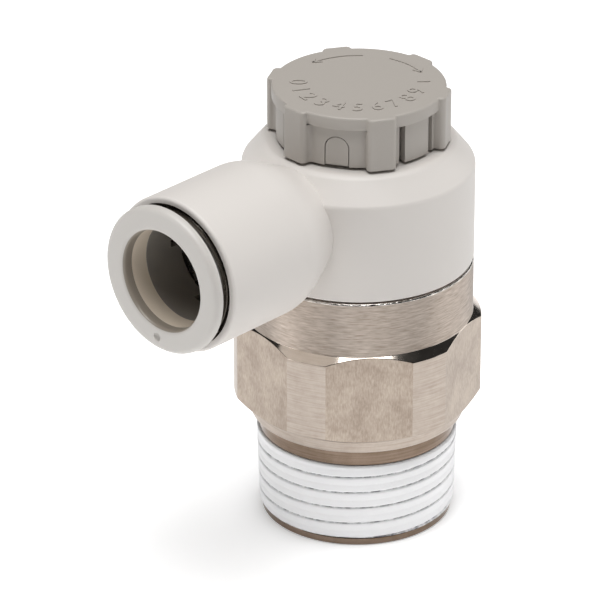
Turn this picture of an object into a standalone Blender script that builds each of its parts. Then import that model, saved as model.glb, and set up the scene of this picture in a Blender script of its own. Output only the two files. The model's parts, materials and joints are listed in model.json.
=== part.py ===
"""Elbow speed control valve with a push-to-lock knob.

A nickel-plated brass body screws into a port by its coated taper thread. A moulded elbow swivels
in the body's collar and takes a tube in a push-in socket. The knob turns a needle that sets the
flow, and a lip packing round the needle's sleeve lets air pass freely the other way.

Metres, +Z up. The origin is on the valve's axis at the open end of the thread. The tube socket
points along -X.
"""

import math

import bmesh
import bpy
from mathutils import Matrix, Vector

# Clearances
SEAT_GAP = 0.00005
RUNNING_GAP = 0.00010
SLIDING_GAP = 0.00015
FLOW_GAP = 0.0010

# Thread and neck of the body
THREAD_RADIUS = 0.01045
THREAD_LENGTH = 0.00955
THREAD_TAPER = 1 / 32
COATING_THICKNESS = 0.0010
TIP_LENGTH = 0.0008
TIP_CHAMFER = 0.0005
NECK_DEPTH = 0.00025
NECK_LENGTH = 0.0019
PORT_RADIUS = 0.0060
PORT_CHAMFER = 0.0004

# Hexagon of the body
HEX_ACROSS_FLATS = 0.0240
HEX_CORNER_RADIUS = 0.0128
HEX_HEIGHT = 0.01065
HEX_LAND_STEP = 0.0008
HEX_LAND_HEIGHT = 0.0012
HEX_LOWER_SLOPE = math.radians(30)
HEX_UPPER_SLOPE = math.radians(20)
HEX_TURN = math.radians(18.2)

# Collar of the body, which takes the elbow's spigot
COLLAR_HEIGHT = 0.0067
COLLAR_WALL = 0.0020
COLLAR_BORE_DEPTH = 0.0055
COLLAR_CHAMFER = 0.0002

# Moulded elbow, its vertical part
ELBOW_GAP = 0.0002
ELBOW_EDGE_RADIUS = 0.0005
SHOULDER_RISE = 0.0022
SHOULDER_WIDTH = 0.0024
ELBOW_CEILING = 0.0030
SPIGOT_WALL = 0.00215
CHAMBER_STEP = 0.0007
BOSS_WALL = 0.0013
BOSS_HEADROOM = 0.0004
BOSS_GROOVE_DEPTH = 0.0005
BOSS_GROOVE_WIDTH = 0.0009
BOSS_GROOVE_RISE = 0.0009

# Retaining clip and seal between the spigot and the collar
CLIP_THICKNESS = 0.0008
CLIP_WIDTH = 0.0012
CLIP_SPLIT = math.radians(20)
CLIP_RISE = 0.0009
BODY_RING_CORD = 0.0010
BODY_RING_RISE = 0.0030

# Tube barrel of the elbow
BARREL_STEP = 0.00077
BARREL_EDGE = 0.0005
BARREL_NECK_STEP = 0.0007
BARREL_ROOT_STEP = 0.0021
BARREL_ROOT_DEPTH = 0.0021
BARREL_ROOT_RISE = 0.0009
BARREL_ROOT_COVER = 0.0001
MOUTH_WALL = 0.00065
MOUTH_STEP = 0.0010
TUBE_RADIUS = 0.0050
TUBE_GAP = 0.00005
TUBE_STOP_DEPTH = 0.0007
PASSAGE_RADIUS = 0.0033
SEAL_LENGTH = 0.0023
SEAL_DEPTH = 0.0014
SEAL_TO_STOP = 0.0038
BACKING_LENGTH = 0.0013

# Chuck that grips the tube, and the ring that holds it
CHUCK_THICKNESS = 0.0003
CHUCK_LEAN = 0.0013
CHUCK_TEETH = 8
CHUCK_SLOT = 0.0008
CHUCK_RIM = 0.0003
GUIDE_LENGTH = 0.00615
GUIDE_RECESS = 0.0001
GUIDE_NOSE_STEP = 0.0004
GUIDE_NOSE_LENGTH = 0.0005
GUIDE_LIP_LENGTH = 0.0008

# Release button and the collet sleeve in it
BUTTON_FLANGE_OVERLAP = 0.00021
BUTTON_FLANGE_THICKNESS = 0.00102
BUTTON_EDGE = 0.0004
BUTTON_STAND = 0.00105
BUTTON_BORE_GAP = 0.0002
BUTTON_WALL = 0.0007
BUTTON_BARB = 0.00045
BUTTON_BARB_LENGTH = 0.0008
BUTTON_NOSE = 0.0007
BUTTON_MOUTH_CHAMFER = 0.00025
COLLET_DEPTH = 0.0033
COLLET_SOCKET = 0.0014
COLLET_SLOTS = 5
COLLET_SLOT = 0.0010
COLLET_SLOT_RISE = 0.0006
DIMPLE_RADIUS = 0.00035
DIMPLE_DEPTH = 0.0003
DIMPLE_ANGLE = math.radians(-85)

# Knob
KNOB_GAP = 0.0003
KNOB_HEIGHT = 0.0056
KNOB_LIP_HEIGHT = 0.00135
KNOB_LIP_OVERHANG = 0.00045
KNOB_WALL = 0.0009
KNOB_TOP_EDGE = 0.00025
GRIP_COUNT = 6
GRIP_STAND = 0.0005
GRIP_WIDTH = 0.0030
GRIP_CORNER = 0.0004
GRIP_ROOT = 0.0004
KNOB_TURN = math.radians(-2.8)
ARCH_WIDTH = 0.00255
ARCH_HEAD = 0.00095
FINGER_SLOT = 0.0007
LOCK_TRAVEL = 0.0015
LUG_WIDTH = 0.0020
LUG_HEIGHT = 0.0008
LUG_DEPTH = 0.0004
LUG_RISE = 0.0007
CORE_ROOM = 0.00085
CORE_WALL = 0.0010
CORE_WEB = 0.0008
SHANK_ACROSS_FLATS = 0.0021

# Needle, its guide and the sleeve with its seat
NEEDLE_RADIUS = 0.00225
NEEDLE_HEAD_STEP = 0.0002
NEEDLE_TIP_RADIUS = 0.0008
NEEDLE_TIP_LENGTH = 0.0026
NEEDLE_TRAVEL = 0.0040
NEEDLE_RING_CORD = 0.0008
NEEDLE_RING_RISE = 0.0004
SHANK_ENGAGEMENT = 0.0028
GUIDE_WALL = 0.00165
GUIDE_TUBE_WALL = 0.0011
GUIDE_FLANGE_WIDTH = 0.00105
GUIDE_FLANGE_THICKNESS = 0.0008
GUIDE_RING_CORD = 0.0008
GUIDE_RING_RISE = 0.0010
ORIFICE_LENGTH = 0.0010
SLEEVE_BORE_GAP = 0.00125
SLEEVE_WALL = 0.0011
SLEEVE_FOOT_THICKNESS = 0.0008
SLEEVE_FOOT_CLEARANCE = 0.00135
SLEEVE_FLANGE_THICKNESS = 0.0012
SLEEVE_FLANGE_RISE = 0.0052
FLOW_HOLES = 6
FLOW_HOLE_RADIUS = 0.0010
PACKING_WIDTH = 0.00295
PACKING_HEIGHT = 0.0030
PACKING_BASE = 0.0014
PACKING_LIP = 0.0006

# Facets of the turned pieces
OUTER_STEPS = 36
INNER_STEPS = 32
SMALL_STEPS = 24
DRILL_STEPS = 12

# Radii from the needle outwards, by the walls and clearances between
NEEDLE_HEAD_RADIUS = NEEDLE_RADIUS + NEEDLE_HEAD_STEP
ORIFICE_RADIUS = NEEDLE_RADIUS + SEAT_GAP
SLEEVE_BORE = ORIFICE_RADIUS + SLEEVE_BORE_GAP
SLEEVE_RADIUS = SLEEVE_BORE + SLEEVE_WALL
SPIGOT_BORE = SLEEVE_RADIUS + PACKING_WIDTH
SLEEVE_FOOT_RADIUS = SPIGOT_BORE - SLEEVE_FOOT_CLEARANCE
CHAMBER_RADIUS = SPIGOT_BORE - CHAMBER_STEP
SPIGOT_RADIUS = SPIGOT_BORE + SPIGOT_WALL
COLLAR_BORE = SPIGOT_RADIUS + SLIDING_GAP
COLLAR_RADIUS = COLLAR_BORE + COLLAR_WALL
ELBOW_RADIUS = COLLAR_RADIUS
PLATEAU_RADIUS = ELBOW_RADIUS - SHOULDER_WIDTH
HEX_LAND_RADIUS = COLLAR_RADIUS - HEX_LAND_STEP
NECK_RADIUS = THREAD_RADIUS - NECK_DEPTH
GUIDE_BORE = NEEDLE_HEAD_RADIUS + SEAT_GAP
GUIDE_RADIUS = GUIDE_BORE + GUIDE_WALL
GUIDE_FLANGE_RADIUS = GUIDE_RADIUS + GUIDE_FLANGE_WIDTH
GUIDE_HOLE = GUIDE_RADIUS + SEAT_GAP
BOSS_RADIUS = GUIDE_HOLE + BOSS_WALL
CORE_BORE = BOSS_RADIUS + CORE_ROOM
CORE_RADIUS = CORE_BORE + CORE_WALL
CAP_BORE = CORE_RADIUS + SLIDING_GAP
KNOB_WALL_RADIUS = CAP_BORE + KNOB_WALL
KNOB_DISC_RADIUS = KNOB_WALL_RADIUS + KNOB_LIP_OVERHANG
GRIP_RADIUS = KNOB_DISC_RADIUS + GRIP_STAND
GRIP_PITCH = 2 * math.pi / GRIP_COUNT

# Radii from the tube outwards
TUBE_BORE = TUBE_RADIUS + TUBE_GAP
SEAL_BORE = TUBE_BORE + SEAL_DEPTH
MOUTH_RADIUS = SEAL_BORE + MOUTH_STEP
BARREL_RADIUS = MOUTH_RADIUS + MOUTH_WALL
BARREL_NECK_RADIUS = BARREL_RADIUS - BARREL_NECK_STEP
BARREL_ROOT_RADIUS = BARREL_RADIUS - BARREL_ROOT_STEP
BUTTON_FLANGE_RADIUS = MOUTH_RADIUS + BUTTON_FLANGE_OVERLAP
BUTTON_BORE = TUBE_RADIUS + BUTTON_BORE_GAP
BUTTON_SLEEVE = BUTTON_BORE + BUTTON_WALL
BARB_RADIUS = BUTTON_SLEEVE + BUTTON_BARB
NOSE_RADIUS = BUTTON_BORE + BUTTON_WALL / 2
CHUCK_TIP_RADIUS = TUBE_BORE + SEAT_GAP
CHUCK_RIM_RADIUS = MOUTH_RADIUS - RUNNING_GAP

# Heights above the thread's end
HEX_BOTTOM = THREAD_LENGTH + NECK_LENGTH
HEX_TOP = HEX_BOTTOM + HEX_HEIGHT
COLLAR_TOP = HEX_TOP + COLLAR_HEIGHT
COLLAR_FLOOR = COLLAR_TOP - COLLAR_BORE_DEPTH
ELBOW_BOTTOM = COLLAR_TOP + ELBOW_GAP
BARREL_HEIGHT = ELBOW_BOTTOM + BARREL_ROOT_RISE + BARREL_ROOT_RADIUS
PLATEAU = BARREL_HEIGHT + BARREL_ROOT_RADIUS + BARREL_ROOT_COVER
SIDE_TOP = PLATEAU - SHOULDER_RISE
SPIGOT_BOTTOM = COLLAR_FLOOR + ELBOW_GAP
CEILING = PLATEAU - ELBOW_CEILING
KNOB_BOTTOM = PLATEAU + KNOB_GAP
KNOB_TOP = KNOB_BOTTOM + KNOB_HEIGHT
LIP_BOTTOM = KNOB_TOP - KNOB_LIP_HEIGHT
WEB_TOP = LIP_BOTTOM - SLIDING_GAP
WEB_BOTTOM = WEB_TOP - CORE_WEB
CORE_BOTTOM = KNOB_BOTTOM + SLIDING_GAP
ARCH_TOP = LIP_BOTTOM - ARCH_HEAD
BOSS_TOP = WEB_BOTTOM - BOSS_HEADROOM
CLIP_BOTTOM = COLLAR_FLOOR + CLIP_RISE
BODY_RING_MIDDLE = COLLAR_FLOOR + BODY_RING_RISE + BODY_RING_CORD / 2
SLEEVE_FOOT = COLLAR_FLOOR - PACKING_HEIGHT + FLOW_GAP
ORIFICE_TOP = SLEEVE_FOOT + ORIFICE_LENGTH
PACKING_SEAT = SLEEVE_FOOT + SLEEVE_FOOT_THICKNESS
SLEEVE_FLANGE = COLLAR_FLOOR + SLEEVE_FLANGE_RISE
SLEEVE_SEAT = SLEEVE_FLANGE + SLEEVE_FLANGE_THICKNESS
SLEEVE_TOP = SLEEVE_SEAT + FLOW_GAP
GUIDE_BOTTOM = SLEEVE_TOP + FLOW_GAP
GUIDE_RING_MIDDLE = CEILING + GUIDE_RING_RISE + GUIDE_RING_CORD / 2
NEEDLE_TOP = WEB_BOTTOM - NEEDLE_TRAVEL - RUNNING_GAP
SHANK_BOTTOM = NEEDLE_TOP - SHANK_ENGAGEMENT
SOCKET_BOTTOM = SHANK_BOTTOM - NEEDLE_TRAVEL - SLIDING_GAP
NEEDLE_HEAD = GUIDE_BOTTOM + NEEDLE_RING_RISE
NEEDLE_RING_MIDDLE = NEEDLE_HEAD + NEEDLE_RING_RISE + NEEDLE_RING_CORD / 2
LUG_BOTTOM = KNOB_BOTTOM + LUG_RISE
LUG_TOP = LUG_BOTTOM + LUG_HEIGHT

# Distances from the valve's axis along the barrel
BARREL_BACK = ELBOW_RADIUS + BARREL_STEP
BARREL_ROOT = ELBOW_RADIUS - BARREL_ROOT_DEPTH
TUBE_STOP = ELBOW_RADIUS - TUBE_STOP_DEPTH
SEAL_END = TUBE_STOP + SEAL_TO_STOP
BACKING_END = SEAL_END + SEAL_LENGTH + 2 * SEAT_GAP
CHUCK_STEP = BACKING_END + BACKING_LENGTH + SEAT_GAP
CHUCK_BACK = CHUCK_STEP + SEAT_GAP
CHUCK_FRONT = CHUCK_BACK + CHUCK_LEAN + CHUCK_THICKNESS
GUIDE_BACK = CHUCK_FRONT + SEAT_GAP
GUIDE_FRONT = GUIDE_BACK + GUIDE_LENGTH
BARREL_FRONT = GUIDE_FRONT + GUIDE_RECESS
FLANGE_BACK = BARREL_FRONT + BUTTON_STAND
BUTTON_FACE = FLANGE_BACK + BUTTON_FLANGE_THICKNESS
COLLET_FRONT = BUTTON_FACE - COLLET_DEPTH


def finish(name, colour, roughness, metallic=0.0):
    material = bpy.data.materials.new(name)
    material.use_nodes = True
    shader = material.node_tree.nodes["Principled BSDF"]
    shader.inputs["Base Color"].default_value = (*colour, 1)
    shader.inputs["Roughness"].default_value = roughness
    shader.inputs["Metallic"].default_value = metallic
    return material


def empty(name, height=0.0, parent=None):
    """An axis that pieces move about or along."""
    pivot = bpy.data.objects.new(name, None)
    pivot.empty_display_size = ELBOW_RADIUS
    pivot.parent = parent
    pivot.location.z = height - (parent.location.z if parent else 0)
    bpy.context.scene.collection.objects.link(pivot)
    return pivot


def place(name, bm, parent, material):
    """Makes an object of the mesh, smooth on its round faces, at its parent's origin."""
    bmesh.ops.recalc_face_normals(bm, faces=bm.faces)
    mesh = bpy.data.meshes.new(name)
    bm.to_mesh(mesh)
    bm.free()
    mesh.shade_smooth()
    mesh.set_sharp_from_angle(angle=math.radians(35))
    if material:
        mesh.materials.append(material)
    piece = bpy.data.objects.new(name, mesh)
    piece.parent = parent
    bpy.context.scene.collection.objects.link(piece)
    return piece


def boolean(piece, name, bm, operation="DIFFERENCE"):
    """Cuts the mesh from the piece, or joins it on, by a hidden helper object."""
    helper = place(f"{piece.name}_{name}", bm, piece.parent, None)
    helper.hide_render = True
    helper.display_type = "WIRE"
    modifier = piece.modifiers.new(name, "BOOLEAN")
    modifier.object = helper
    modifier.operation = operation
    modifier.solver = "EXACT"
    return helper


def arc(radius, height, size, start, end, steps=3):
    """Points of a round edge in an outline, as (radius, height) pairs."""
    points = []
    for step in range(steps + 1):
        angle = math.radians(start + (end - start) * step / steps)
        points.append((radius + size * math.cos(angle), height + size * math.sin(angle)))
    return points


def turned(outline, steps=OUTER_STEPS, along="Z", angle=2 * math.pi):
    """Turns a closed outline of (radius, height) pairs about Z, or about X for the barrel."""
    bm = bmesh.new()
    if along == "Z":
        corners = [bm.verts.new((radius, 0, height)) for radius, height in outline]
        axis = Vector((0, 0, 1))
    else:
        corners = [bm.verts.new((height, 0, radius)) for radius, height in outline]
        axis = Vector((1, 0, 0))
    face = bm.faces.new(corners)
    whole = angle >= 2 * math.pi
    geometry = list(face.edges) if whole else [face]
    if whole:
        bmesh.ops.delete(bm, geom=[face], context="FACES_ONLY")
        geometry = list(bm.verts) + list(bm.edges)
    bmesh.ops.spin(bm, geom=geometry, cent=(0, 0, 0), axis=axis, angle=angle, steps=steps, use_merge=whole)
    bmesh.ops.remove_doubles(bm, verts=bm.verts, dist=1e-7)
    return bm


def prism(outline, low, high, turn=0.0):
    """Raises a closed plan outline of (x, y) pairs from one height to another, turned about Z."""
    bm = bmesh.new()
    face = bm.faces.new([bm.verts.new((x, y, low)) for x, y in outline])
    raised = bmesh.ops.extrude_face_region(bm, geom=[face])["geom"]
    verts = [item for item in raised if isinstance(item, bmesh.types.BMVert)]
    bmesh.ops.translate(bm, vec=(0, 0, high - low), verts=verts)
    bmesh.ops.rotate(bm, cent=(0, 0, 0), matrix=Matrix.Rotation(turn, 3, "Z"), verts=bm.verts)
    return bm


def polygon(across_flats, sides=6):
    radius = across_flats / 2 / math.cos(math.pi / sides)
    spread = 2 * math.pi / sides
    return [(radius * math.cos(spread * i), radius * math.sin(spread * i)) for i in range(sides)]


def block(inner, outer, width, low, high, turn, arched=False):
    """A bar that runs outwards from the valve's axis, with a round top if it is arched."""
    half = width / 2
    side = [(half, low), (half, high)]
    if arched:
        side = [(half, low)] + arc(0, high - half, half, 0, 180, 10)
    else:
        side.append((-half, high))
    side.append((-half, low))
    bm = bmesh.new()
    face = bm.faces.new([bm.verts.new((inner, y, z)) for y, z in side])
    pushed = bmesh.ops.extrude_face_region(bm, geom=[face])["geom"]
    verts = [item for item in pushed if isinstance(item, bmesh.types.BMVert)]
    bmesh.ops.translate(bm, vec=(outer - inner, 0, 0), verts=verts)
    bmesh.ops.rotate(bm, cent=(0, 0, 0), matrix=Matrix.Rotation(turn, 3, "Z"), verts=bm.verts)
    return bm


def gathered(shapes):
    """One mesh of several separate shapes."""
    bm = bmesh.new()
    for shape in shapes:
        mesh = bpy.data.meshes.new("shape")
        shape.to_mesh(mesh)
        shape.free()
        bm.from_mesh(mesh)
        bpy.data.meshes.remove(mesh)
    return bm


def o_ring(cord, height, inner_radius):
    """Outline of a ring of round rubber cord."""
    half = cord / 2
    return arc(inner_radius + half, height, half, 0, 300, 5)


def crest(height):
    """Radius over the coated thread, which tapers towards its open end."""
    return THREAD_RADIUS - (THREAD_LENGTH - height) * THREAD_TAPER


def make_brass_body(parent, material):
    """Thread core, neck, collar and bores in one turning, with the hexagon milled on it."""
    core_low = crest(TIP_LENGTH) - COATING_THICKNESS
    core_high = crest(THREAD_LENGTH) - COATING_THICKNESS
    tip = crest(TIP_LENGTH) - COATING_THICKNESS / 4
    bore_step = SPIGOT_BORE - PORT_RADIUS
    clip_groove = COLLAR_BORE + CLIP_WIDTH / 2 - SLIDING_GAP
    outline = [
        (PORT_RADIUS + PORT_CHAMFER, 0),
        (tip - TIP_CHAMFER, 0),
        (tip, TIP_CHAMFER),
        (tip, TIP_LENGTH),
        (core_low, TIP_LENGTH),
        (core_high, THREAD_LENGTH),
        (NECK_RADIUS, THREAD_LENGTH),
        (NECK_RADIUS, HEX_BOTTOM + HEX_LAND_HEIGHT / 2),
        (COLLAR_BORE + COLLAR_WALL / 4, HEX_BOTTOM + HEX_LAND_HEIGHT),
        (COLLAR_BORE + COLLAR_WALL / 4, HEX_TOP - HEX_LAND_HEIGHT / 2),
        (COLLAR_RADIUS, HEX_TOP),
        (COLLAR_RADIUS, COLLAR_TOP - COLLAR_CHAMFER),
        (COLLAR_RADIUS - COLLAR_CHAMFER, COLLAR_TOP),
        (COLLAR_BORE + COLLAR_CHAMFER, COLLAR_TOP),
        (COLLAR_BORE, COLLAR_TOP - COLLAR_CHAMFER),
        (COLLAR_BORE, CLIP_BOTTOM + CLIP_THICKNESS + RUNNING_GAP),
        (clip_groove, CLIP_BOTTOM + CLIP_THICKNESS + RUNNING_GAP),
        (clip_groove, CLIP_BOTTOM - RUNNING_GAP),
        (COLLAR_BORE, CLIP_BOTTOM - RUNNING_GAP),
        (COLLAR_BORE, COLLAR_FLOOR),
        (SPIGOT_BORE, COLLAR_FLOOR),
        (SPIGOT_BORE, COLLAR_FLOOR - PACKING_HEIGHT),
        (PORT_RADIUS, COLLAR_FLOOR - PACKING_HEIGHT - bore_step),
        (PORT_RADIUS, PORT_CHAMFER),
    ]
    body = place("brass_body", turned(outline), parent, material)
    rise = (HEX_CORNER_RADIUS - HEX_LAND_RADIUS) * math.tan(HEX_LOWER_SLOPE)
    fall = (HEX_CORNER_RADIUS - COLLAR_RADIUS) * math.tan(HEX_UPPER_SLOPE)
    blank = turned(
        [
            (SPIGOT_BORE + COLLAR_WALL / 2, HEX_BOTTOM),
            (HEX_LAND_RADIUS - COLLAR_CHAMFER, HEX_BOTTOM),
            (HEX_LAND_RADIUS, HEX_BOTTOM + COLLAR_CHAMFER),
            (HEX_LAND_RADIUS, HEX_BOTTOM + HEX_LAND_HEIGHT),
            (HEX_CORNER_RADIUS, HEX_BOTTOM + HEX_LAND_HEIGHT + rise),
            (HEX_CORNER_RADIUS, HEX_TOP - fall),
            (COLLAR_RADIUS, HEX_TOP),
            (SPIGOT_BORE + COLLAR_WALL / 2, HEX_TOP),
        ],
    )
    blank = boolean(body, "hexagon", blank, "UNION")
    milled = blank.modifiers.new("flats", "BOOLEAN")
    margin = COLLAR_WALL
    flats = prism(polygon(HEX_ACROSS_FLATS), HEX_BOTTOM - margin, HEX_TOP + margin, HEX_TURN)
    tool = place("brass_body_flats", flats, parent, None)
    tool.hide_render = True
    tool.display_type = "WIRE"
    milled.object = tool
    milled.operation = "INTERSECT"
    milled.solver = "EXACT"
    return body


def make_thread_sealant(parent, material):
    """The coating fills the thread between the bare tip and the neck."""
    low = TIP_LENGTH + SEAT_GAP
    high = THREAD_LENGTH - SEAT_GAP
    inner = SEAT_GAP - COATING_THICKNESS
    outline = [
        (crest(low) + inner, low),
        (crest(low), low),
        (crest(high), high),
        (crest(high) + inner, high),
    ]
    return place("thread_sealant", turned(outline), parent, material)


def make_retaining_clip(parent, material):
    """Split ring that sits half in the collar's groove and half in the spigot's."""
    inner = SPIGOT_RADIUS - CLIP_WIDTH / 2
    outer = inner + CLIP_WIDTH - SLIDING_GAP
    top = CLIP_BOTTOM + CLIP_THICKNESS
    outline = [(inner, CLIP_BOTTOM), (outer, CLIP_BOTTOM), (outer, top), (inner, top)]
    ring = turned(outline, INNER_STEPS, angle=2 * math.pi - CLIP_SPLIT)
    return place("retaining_clip", ring, parent, material)


def barrel_outline():
    """Outer form of the tube barrel, from its mouth back into the elbow."""
    edge = BARREL_RADIUS - BARREL_EDGE
    outline = [(0, -BARREL_FRONT)]
    outline += arc(edge, -BARREL_FRONT + BARREL_EDGE, BARREL_EDGE, -90, 0)
    outline += [(BARREL_RADIUS, -BARREL_BACK - RUNNING_GAP)]
    outline += [(BARREL_RADIUS - RUNNING_GAP, -BARREL_BACK)]
    run = BARREL_BACK - BARREL_ROOT
    drop = BARREL_NECK_RADIUS - BARREL_ROOT_RADIUS
    for step in range(5):
        share = step / 4
        radius = BARREL_NECK_RADIUS - drop * math.sin(share * math.pi / 2)
        outline.append((radius, -BARREL_BACK + run * share))
    outline += [(BARREL_ROOT_RADIUS, -CHAMBER_RADIUS - SPIGOT_WALL / 2)]
    outline += [(0, -CHAMBER_RADIUS - SPIGOT_WALL / 2)]
    return outline


def make_elbow_body(parent, material):
    """One moulding: spigot, side wall, shoulder, plateau and boss, joined by the tube barrel."""
    clip_seat = SPIGOT_RADIUS - CLIP_WIDTH / 2 - RUNNING_GAP
    ring_seat = SPIGOT_RADIUS - BODY_RING_CORD + SLIDING_GAP - SEAT_GAP
    ring_low = BODY_RING_MIDDLE - BODY_RING_CORD / 2 - RUNNING_GAP
    ring_high = BODY_RING_MIDDLE + BODY_RING_CORD / 2 + RUNNING_GAP
    sleeve_step = SLEEVE_SEAT + SEAT_GAP
    groove_low = PLATEAU + BOSS_GROOVE_RISE
    groove_high = groove_low + BOSS_GROOVE_WIDTH
    outline = [
        (SPIGOT_BORE, SPIGOT_BOTTOM),
        (SPIGOT_RADIUS - ELBOW_GAP, SPIGOT_BOTTOM),
        (SPIGOT_RADIUS, SPIGOT_BOTTOM + ELBOW_GAP),
        (SPIGOT_RADIUS, CLIP_BOTTOM - RUNNING_GAP),
        (clip_seat, CLIP_BOTTOM - RUNNING_GAP),
        (clip_seat, CLIP_BOTTOM + CLIP_THICKNESS + RUNNING_GAP),
        (SPIGOT_RADIUS, CLIP_BOTTOM + CLIP_THICKNESS + RUNNING_GAP),
        (SPIGOT_RADIUS, ring_low),
        (ring_seat, ring_low),
        (ring_seat, ring_high),
        (SPIGOT_RADIUS, ring_high),
        (SPIGOT_RADIUS, ELBOW_BOTTOM),
        (ELBOW_RADIUS - ELBOW_GAP, ELBOW_BOTTOM),
        (ELBOW_RADIUS, ELBOW_BOTTOM + ELBOW_GAP),
    ]
    edge = ELBOW_RADIUS - ELBOW_EDGE_RADIUS
    outline += arc(edge, SIDE_TOP - ELBOW_EDGE_RADIUS, ELBOW_EDGE_RADIUS, 0, 60)
    outline += [
        (PLATEAU_RADIUS + ELBOW_EDGE_RADIUS, PLATEAU - ELBOW_EDGE_RADIUS / 2),
        (PLATEAU_RADIUS, PLATEAU),
        (BOSS_RADIUS, PLATEAU),
        (BOSS_RADIUS, groove_low),
        (BOSS_RADIUS - BOSS_GROOVE_DEPTH, groove_low),
        (BOSS_RADIUS - BOSS_GROOVE_DEPTH, groove_high),
        (BOSS_RADIUS, groove_high),
        (BOSS_RADIUS, BOSS_TOP),
        (GUIDE_HOLE, BOSS_TOP),
        (GUIDE_HOLE, CEILING),
        (CHAMBER_RADIUS, CEILING),
        (CHAMBER_RADIUS, sleeve_step),
        (SPIGOT_BORE, sleeve_step),
    ]
    elbow = place("elbow_body", turned(outline), parent, material)
    barrel = turned(barrel_outline(), along="X")
    bmesh.ops.translate(barrel, vec=(0, 0, BARREL_HEIGHT), verts=barrel.verts)
    boolean(elbow, "barrel", barrel, "UNION")
    bore = turned(
        [
            (0, -CHAMBER_RADIUS + CHAMBER_STEP * 2),
            (0, -BARREL_FRONT - BARREL_EDGE),
            (MOUTH_RADIUS, -BARREL_FRONT - BARREL_EDGE),
            (MOUTH_RADIUS, -CHUCK_STEP),
            (SEAL_BORE, -CHUCK_STEP),
            (SEAL_BORE, -SEAL_END),
            (TUBE_BORE, -SEAL_END),
            (TUBE_BORE, -TUBE_STOP),
            (PASSAGE_RADIUS, -TUBE_STOP),
            (PASSAGE_RADIUS, -CHAMBER_RADIUS + CHAMBER_STEP * 2),
        ],
        along="X",
    )
    bmesh.ops.translate(bore, vec=(0, 0, BARREL_HEIGHT), verts=bore.verts)
    boolean(elbow, "tube_bore", bore)
    return elbow


def make_body_o_ring(parent, material):
    inner = SPIGOT_RADIUS - BODY_RING_CORD + SLIDING_GAP
    outline = o_ring(BODY_RING_CORD - 3 * SEAT_GAP, BODY_RING_MIDDLE, inner)
    return place("body_o_ring", turned(outline, INNER_STEPS), parent, material)


def make_orifice_sleeve(parent, material):
    """Sleeve with the needle's seat at its foot and a drilled flange that centres it."""
    outline = [
        (ORIFICE_RADIUS, SLEEVE_FOOT),
        (SLEEVE_FOOT_RADIUS, SLEEVE_FOOT),
        (SLEEVE_FOOT_RADIUS, PACKING_SEAT),
        (SLEEVE_RADIUS, PACKING_SEAT),
        (SLEEVE_RADIUS, SLEEVE_FLANGE),
        (SPIGOT_BORE - SEAT_GAP, SLEEVE_FLANGE),
        (SPIGOT_BORE - SEAT_GAP, SLEEVE_SEAT),
        (SLEEVE_RADIUS, SLEEVE_SEAT),
        (SLEEVE_RADIUS, SLEEVE_TOP),
        (SLEEVE_BORE, SLEEVE_TOP),
        (SLEEVE_BORE, ORIFICE_TOP + SLEEVE_BORE_GAP),
        (ORIFICE_RADIUS, ORIFICE_TOP),
    ]
    sleeve = place("orifice_sleeve", turned(outline, SMALL_STEPS), parent, material)
    pitch = (SLEEVE_RADIUS + SPIGOT_BORE) / 2
    drills = []
    for hole in range(FLOW_HOLES):
        angle = 2 * math.pi * hole / FLOW_HOLES
        low = SLEEVE_FLANGE - FLOW_GAP
        high = SLEEVE_SEAT + FLOW_GAP
        side = [(FLOW_HOLE_RADIUS, low), (FLOW_HOLE_RADIUS, high)]
        drill = turned([(0, low), *side, (0, high)], DRILL_STEPS)
        centre = (pitch * math.cos(angle), pitch * math.sin(angle), 0)
        bmesh.ops.translate(drill, vec=centre, verts=drill.verts)
        drills.append(drill)
    boolean(sleeve, "flow_holes", gathered(drills))
    return sleeve


def make_check_seal(parent, material):
    """Lip packing: the outer lip closes on the bore when air pushes up, and folds when it pushes down."""
    inner = SLEEVE_RADIUS + SEAT_GAP
    outer = SPIGOT_BORE - SEAT_GAP
    low = PACKING_SEAT + SEAT_GAP
    valley = low + PACKING_HEIGHT / 2
    outline = [
        (inner, low),
        (inner + PACKING_LIP, low),
        (inner + PACKING_LIP, valley),
        (outer - PACKING_LIP, low),
        (outer, low),
        (outer, low + PACKING_LIP),
        (inner + PACKING_BASE, low + PACKING_HEIGHT),
        (inner, low + PACKING_HEIGHT),
    ]
    return place("check_seal", turned(outline, INNER_STEPS), parent, material)


def make_check_seal_spacer(parent, material):
    """Ring that holds the packing down under the sleeve's flange."""
    inner = SLEEVE_RADIUS + SEAT_GAP
    outer = inner + PACKING_LIP
    low = PACKING_SEAT + PACKING_HEIGHT + 2 * SEAT_GAP
    high = SLEEVE_FLANGE - SEAT_GAP
    outline = [(inner, low), (outer, low), (outer, high), (inner, high)]
    return place("check_seal_spacer", turned(outline, INNER_STEPS), parent, material)


def make_needle_guide(parent, material):
    """Brass bush in the boss, flanged under the elbow's ceiling, with a groove for its seal."""
    tube = GUIDE_BORE + GUIDE_TUBE_WALL
    flange_top = CEILING - SEAT_GAP
    flange = flange_top - GUIDE_FLANGE_THICKNESS
    groove = GUIDE_RADIUS - GUIDE_RING_CORD + RUNNING_GAP
    groove_low = GUIDE_RING_MIDDLE - GUIDE_RING_CORD / 2 - RUNNING_GAP
    groove_high = GUIDE_RING_MIDDLE + GUIDE_RING_CORD / 2 + RUNNING_GAP
    outline = [
        (GUIDE_BORE, GUIDE_BOTTOM),
        (tube, GUIDE_BOTTOM),
        (tube, flange),
        (GUIDE_FLANGE_RADIUS, flange),
        (GUIDE_FLANGE_RADIUS, flange_top),
        (GUIDE_RADIUS, flange_top),
        (GUIDE_RADIUS, groove_low),
        (groove, groove_low),
        (groove, groove_high),
        (GUIDE_RADIUS, groove_high),
        (GUIDE_RADIUS, BOSS_TOP),
        (GUIDE_BORE, BOSS_TOP),
    ]
    return place("needle_guide", turned(outline, SMALL_STEPS), parent, material)


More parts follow.
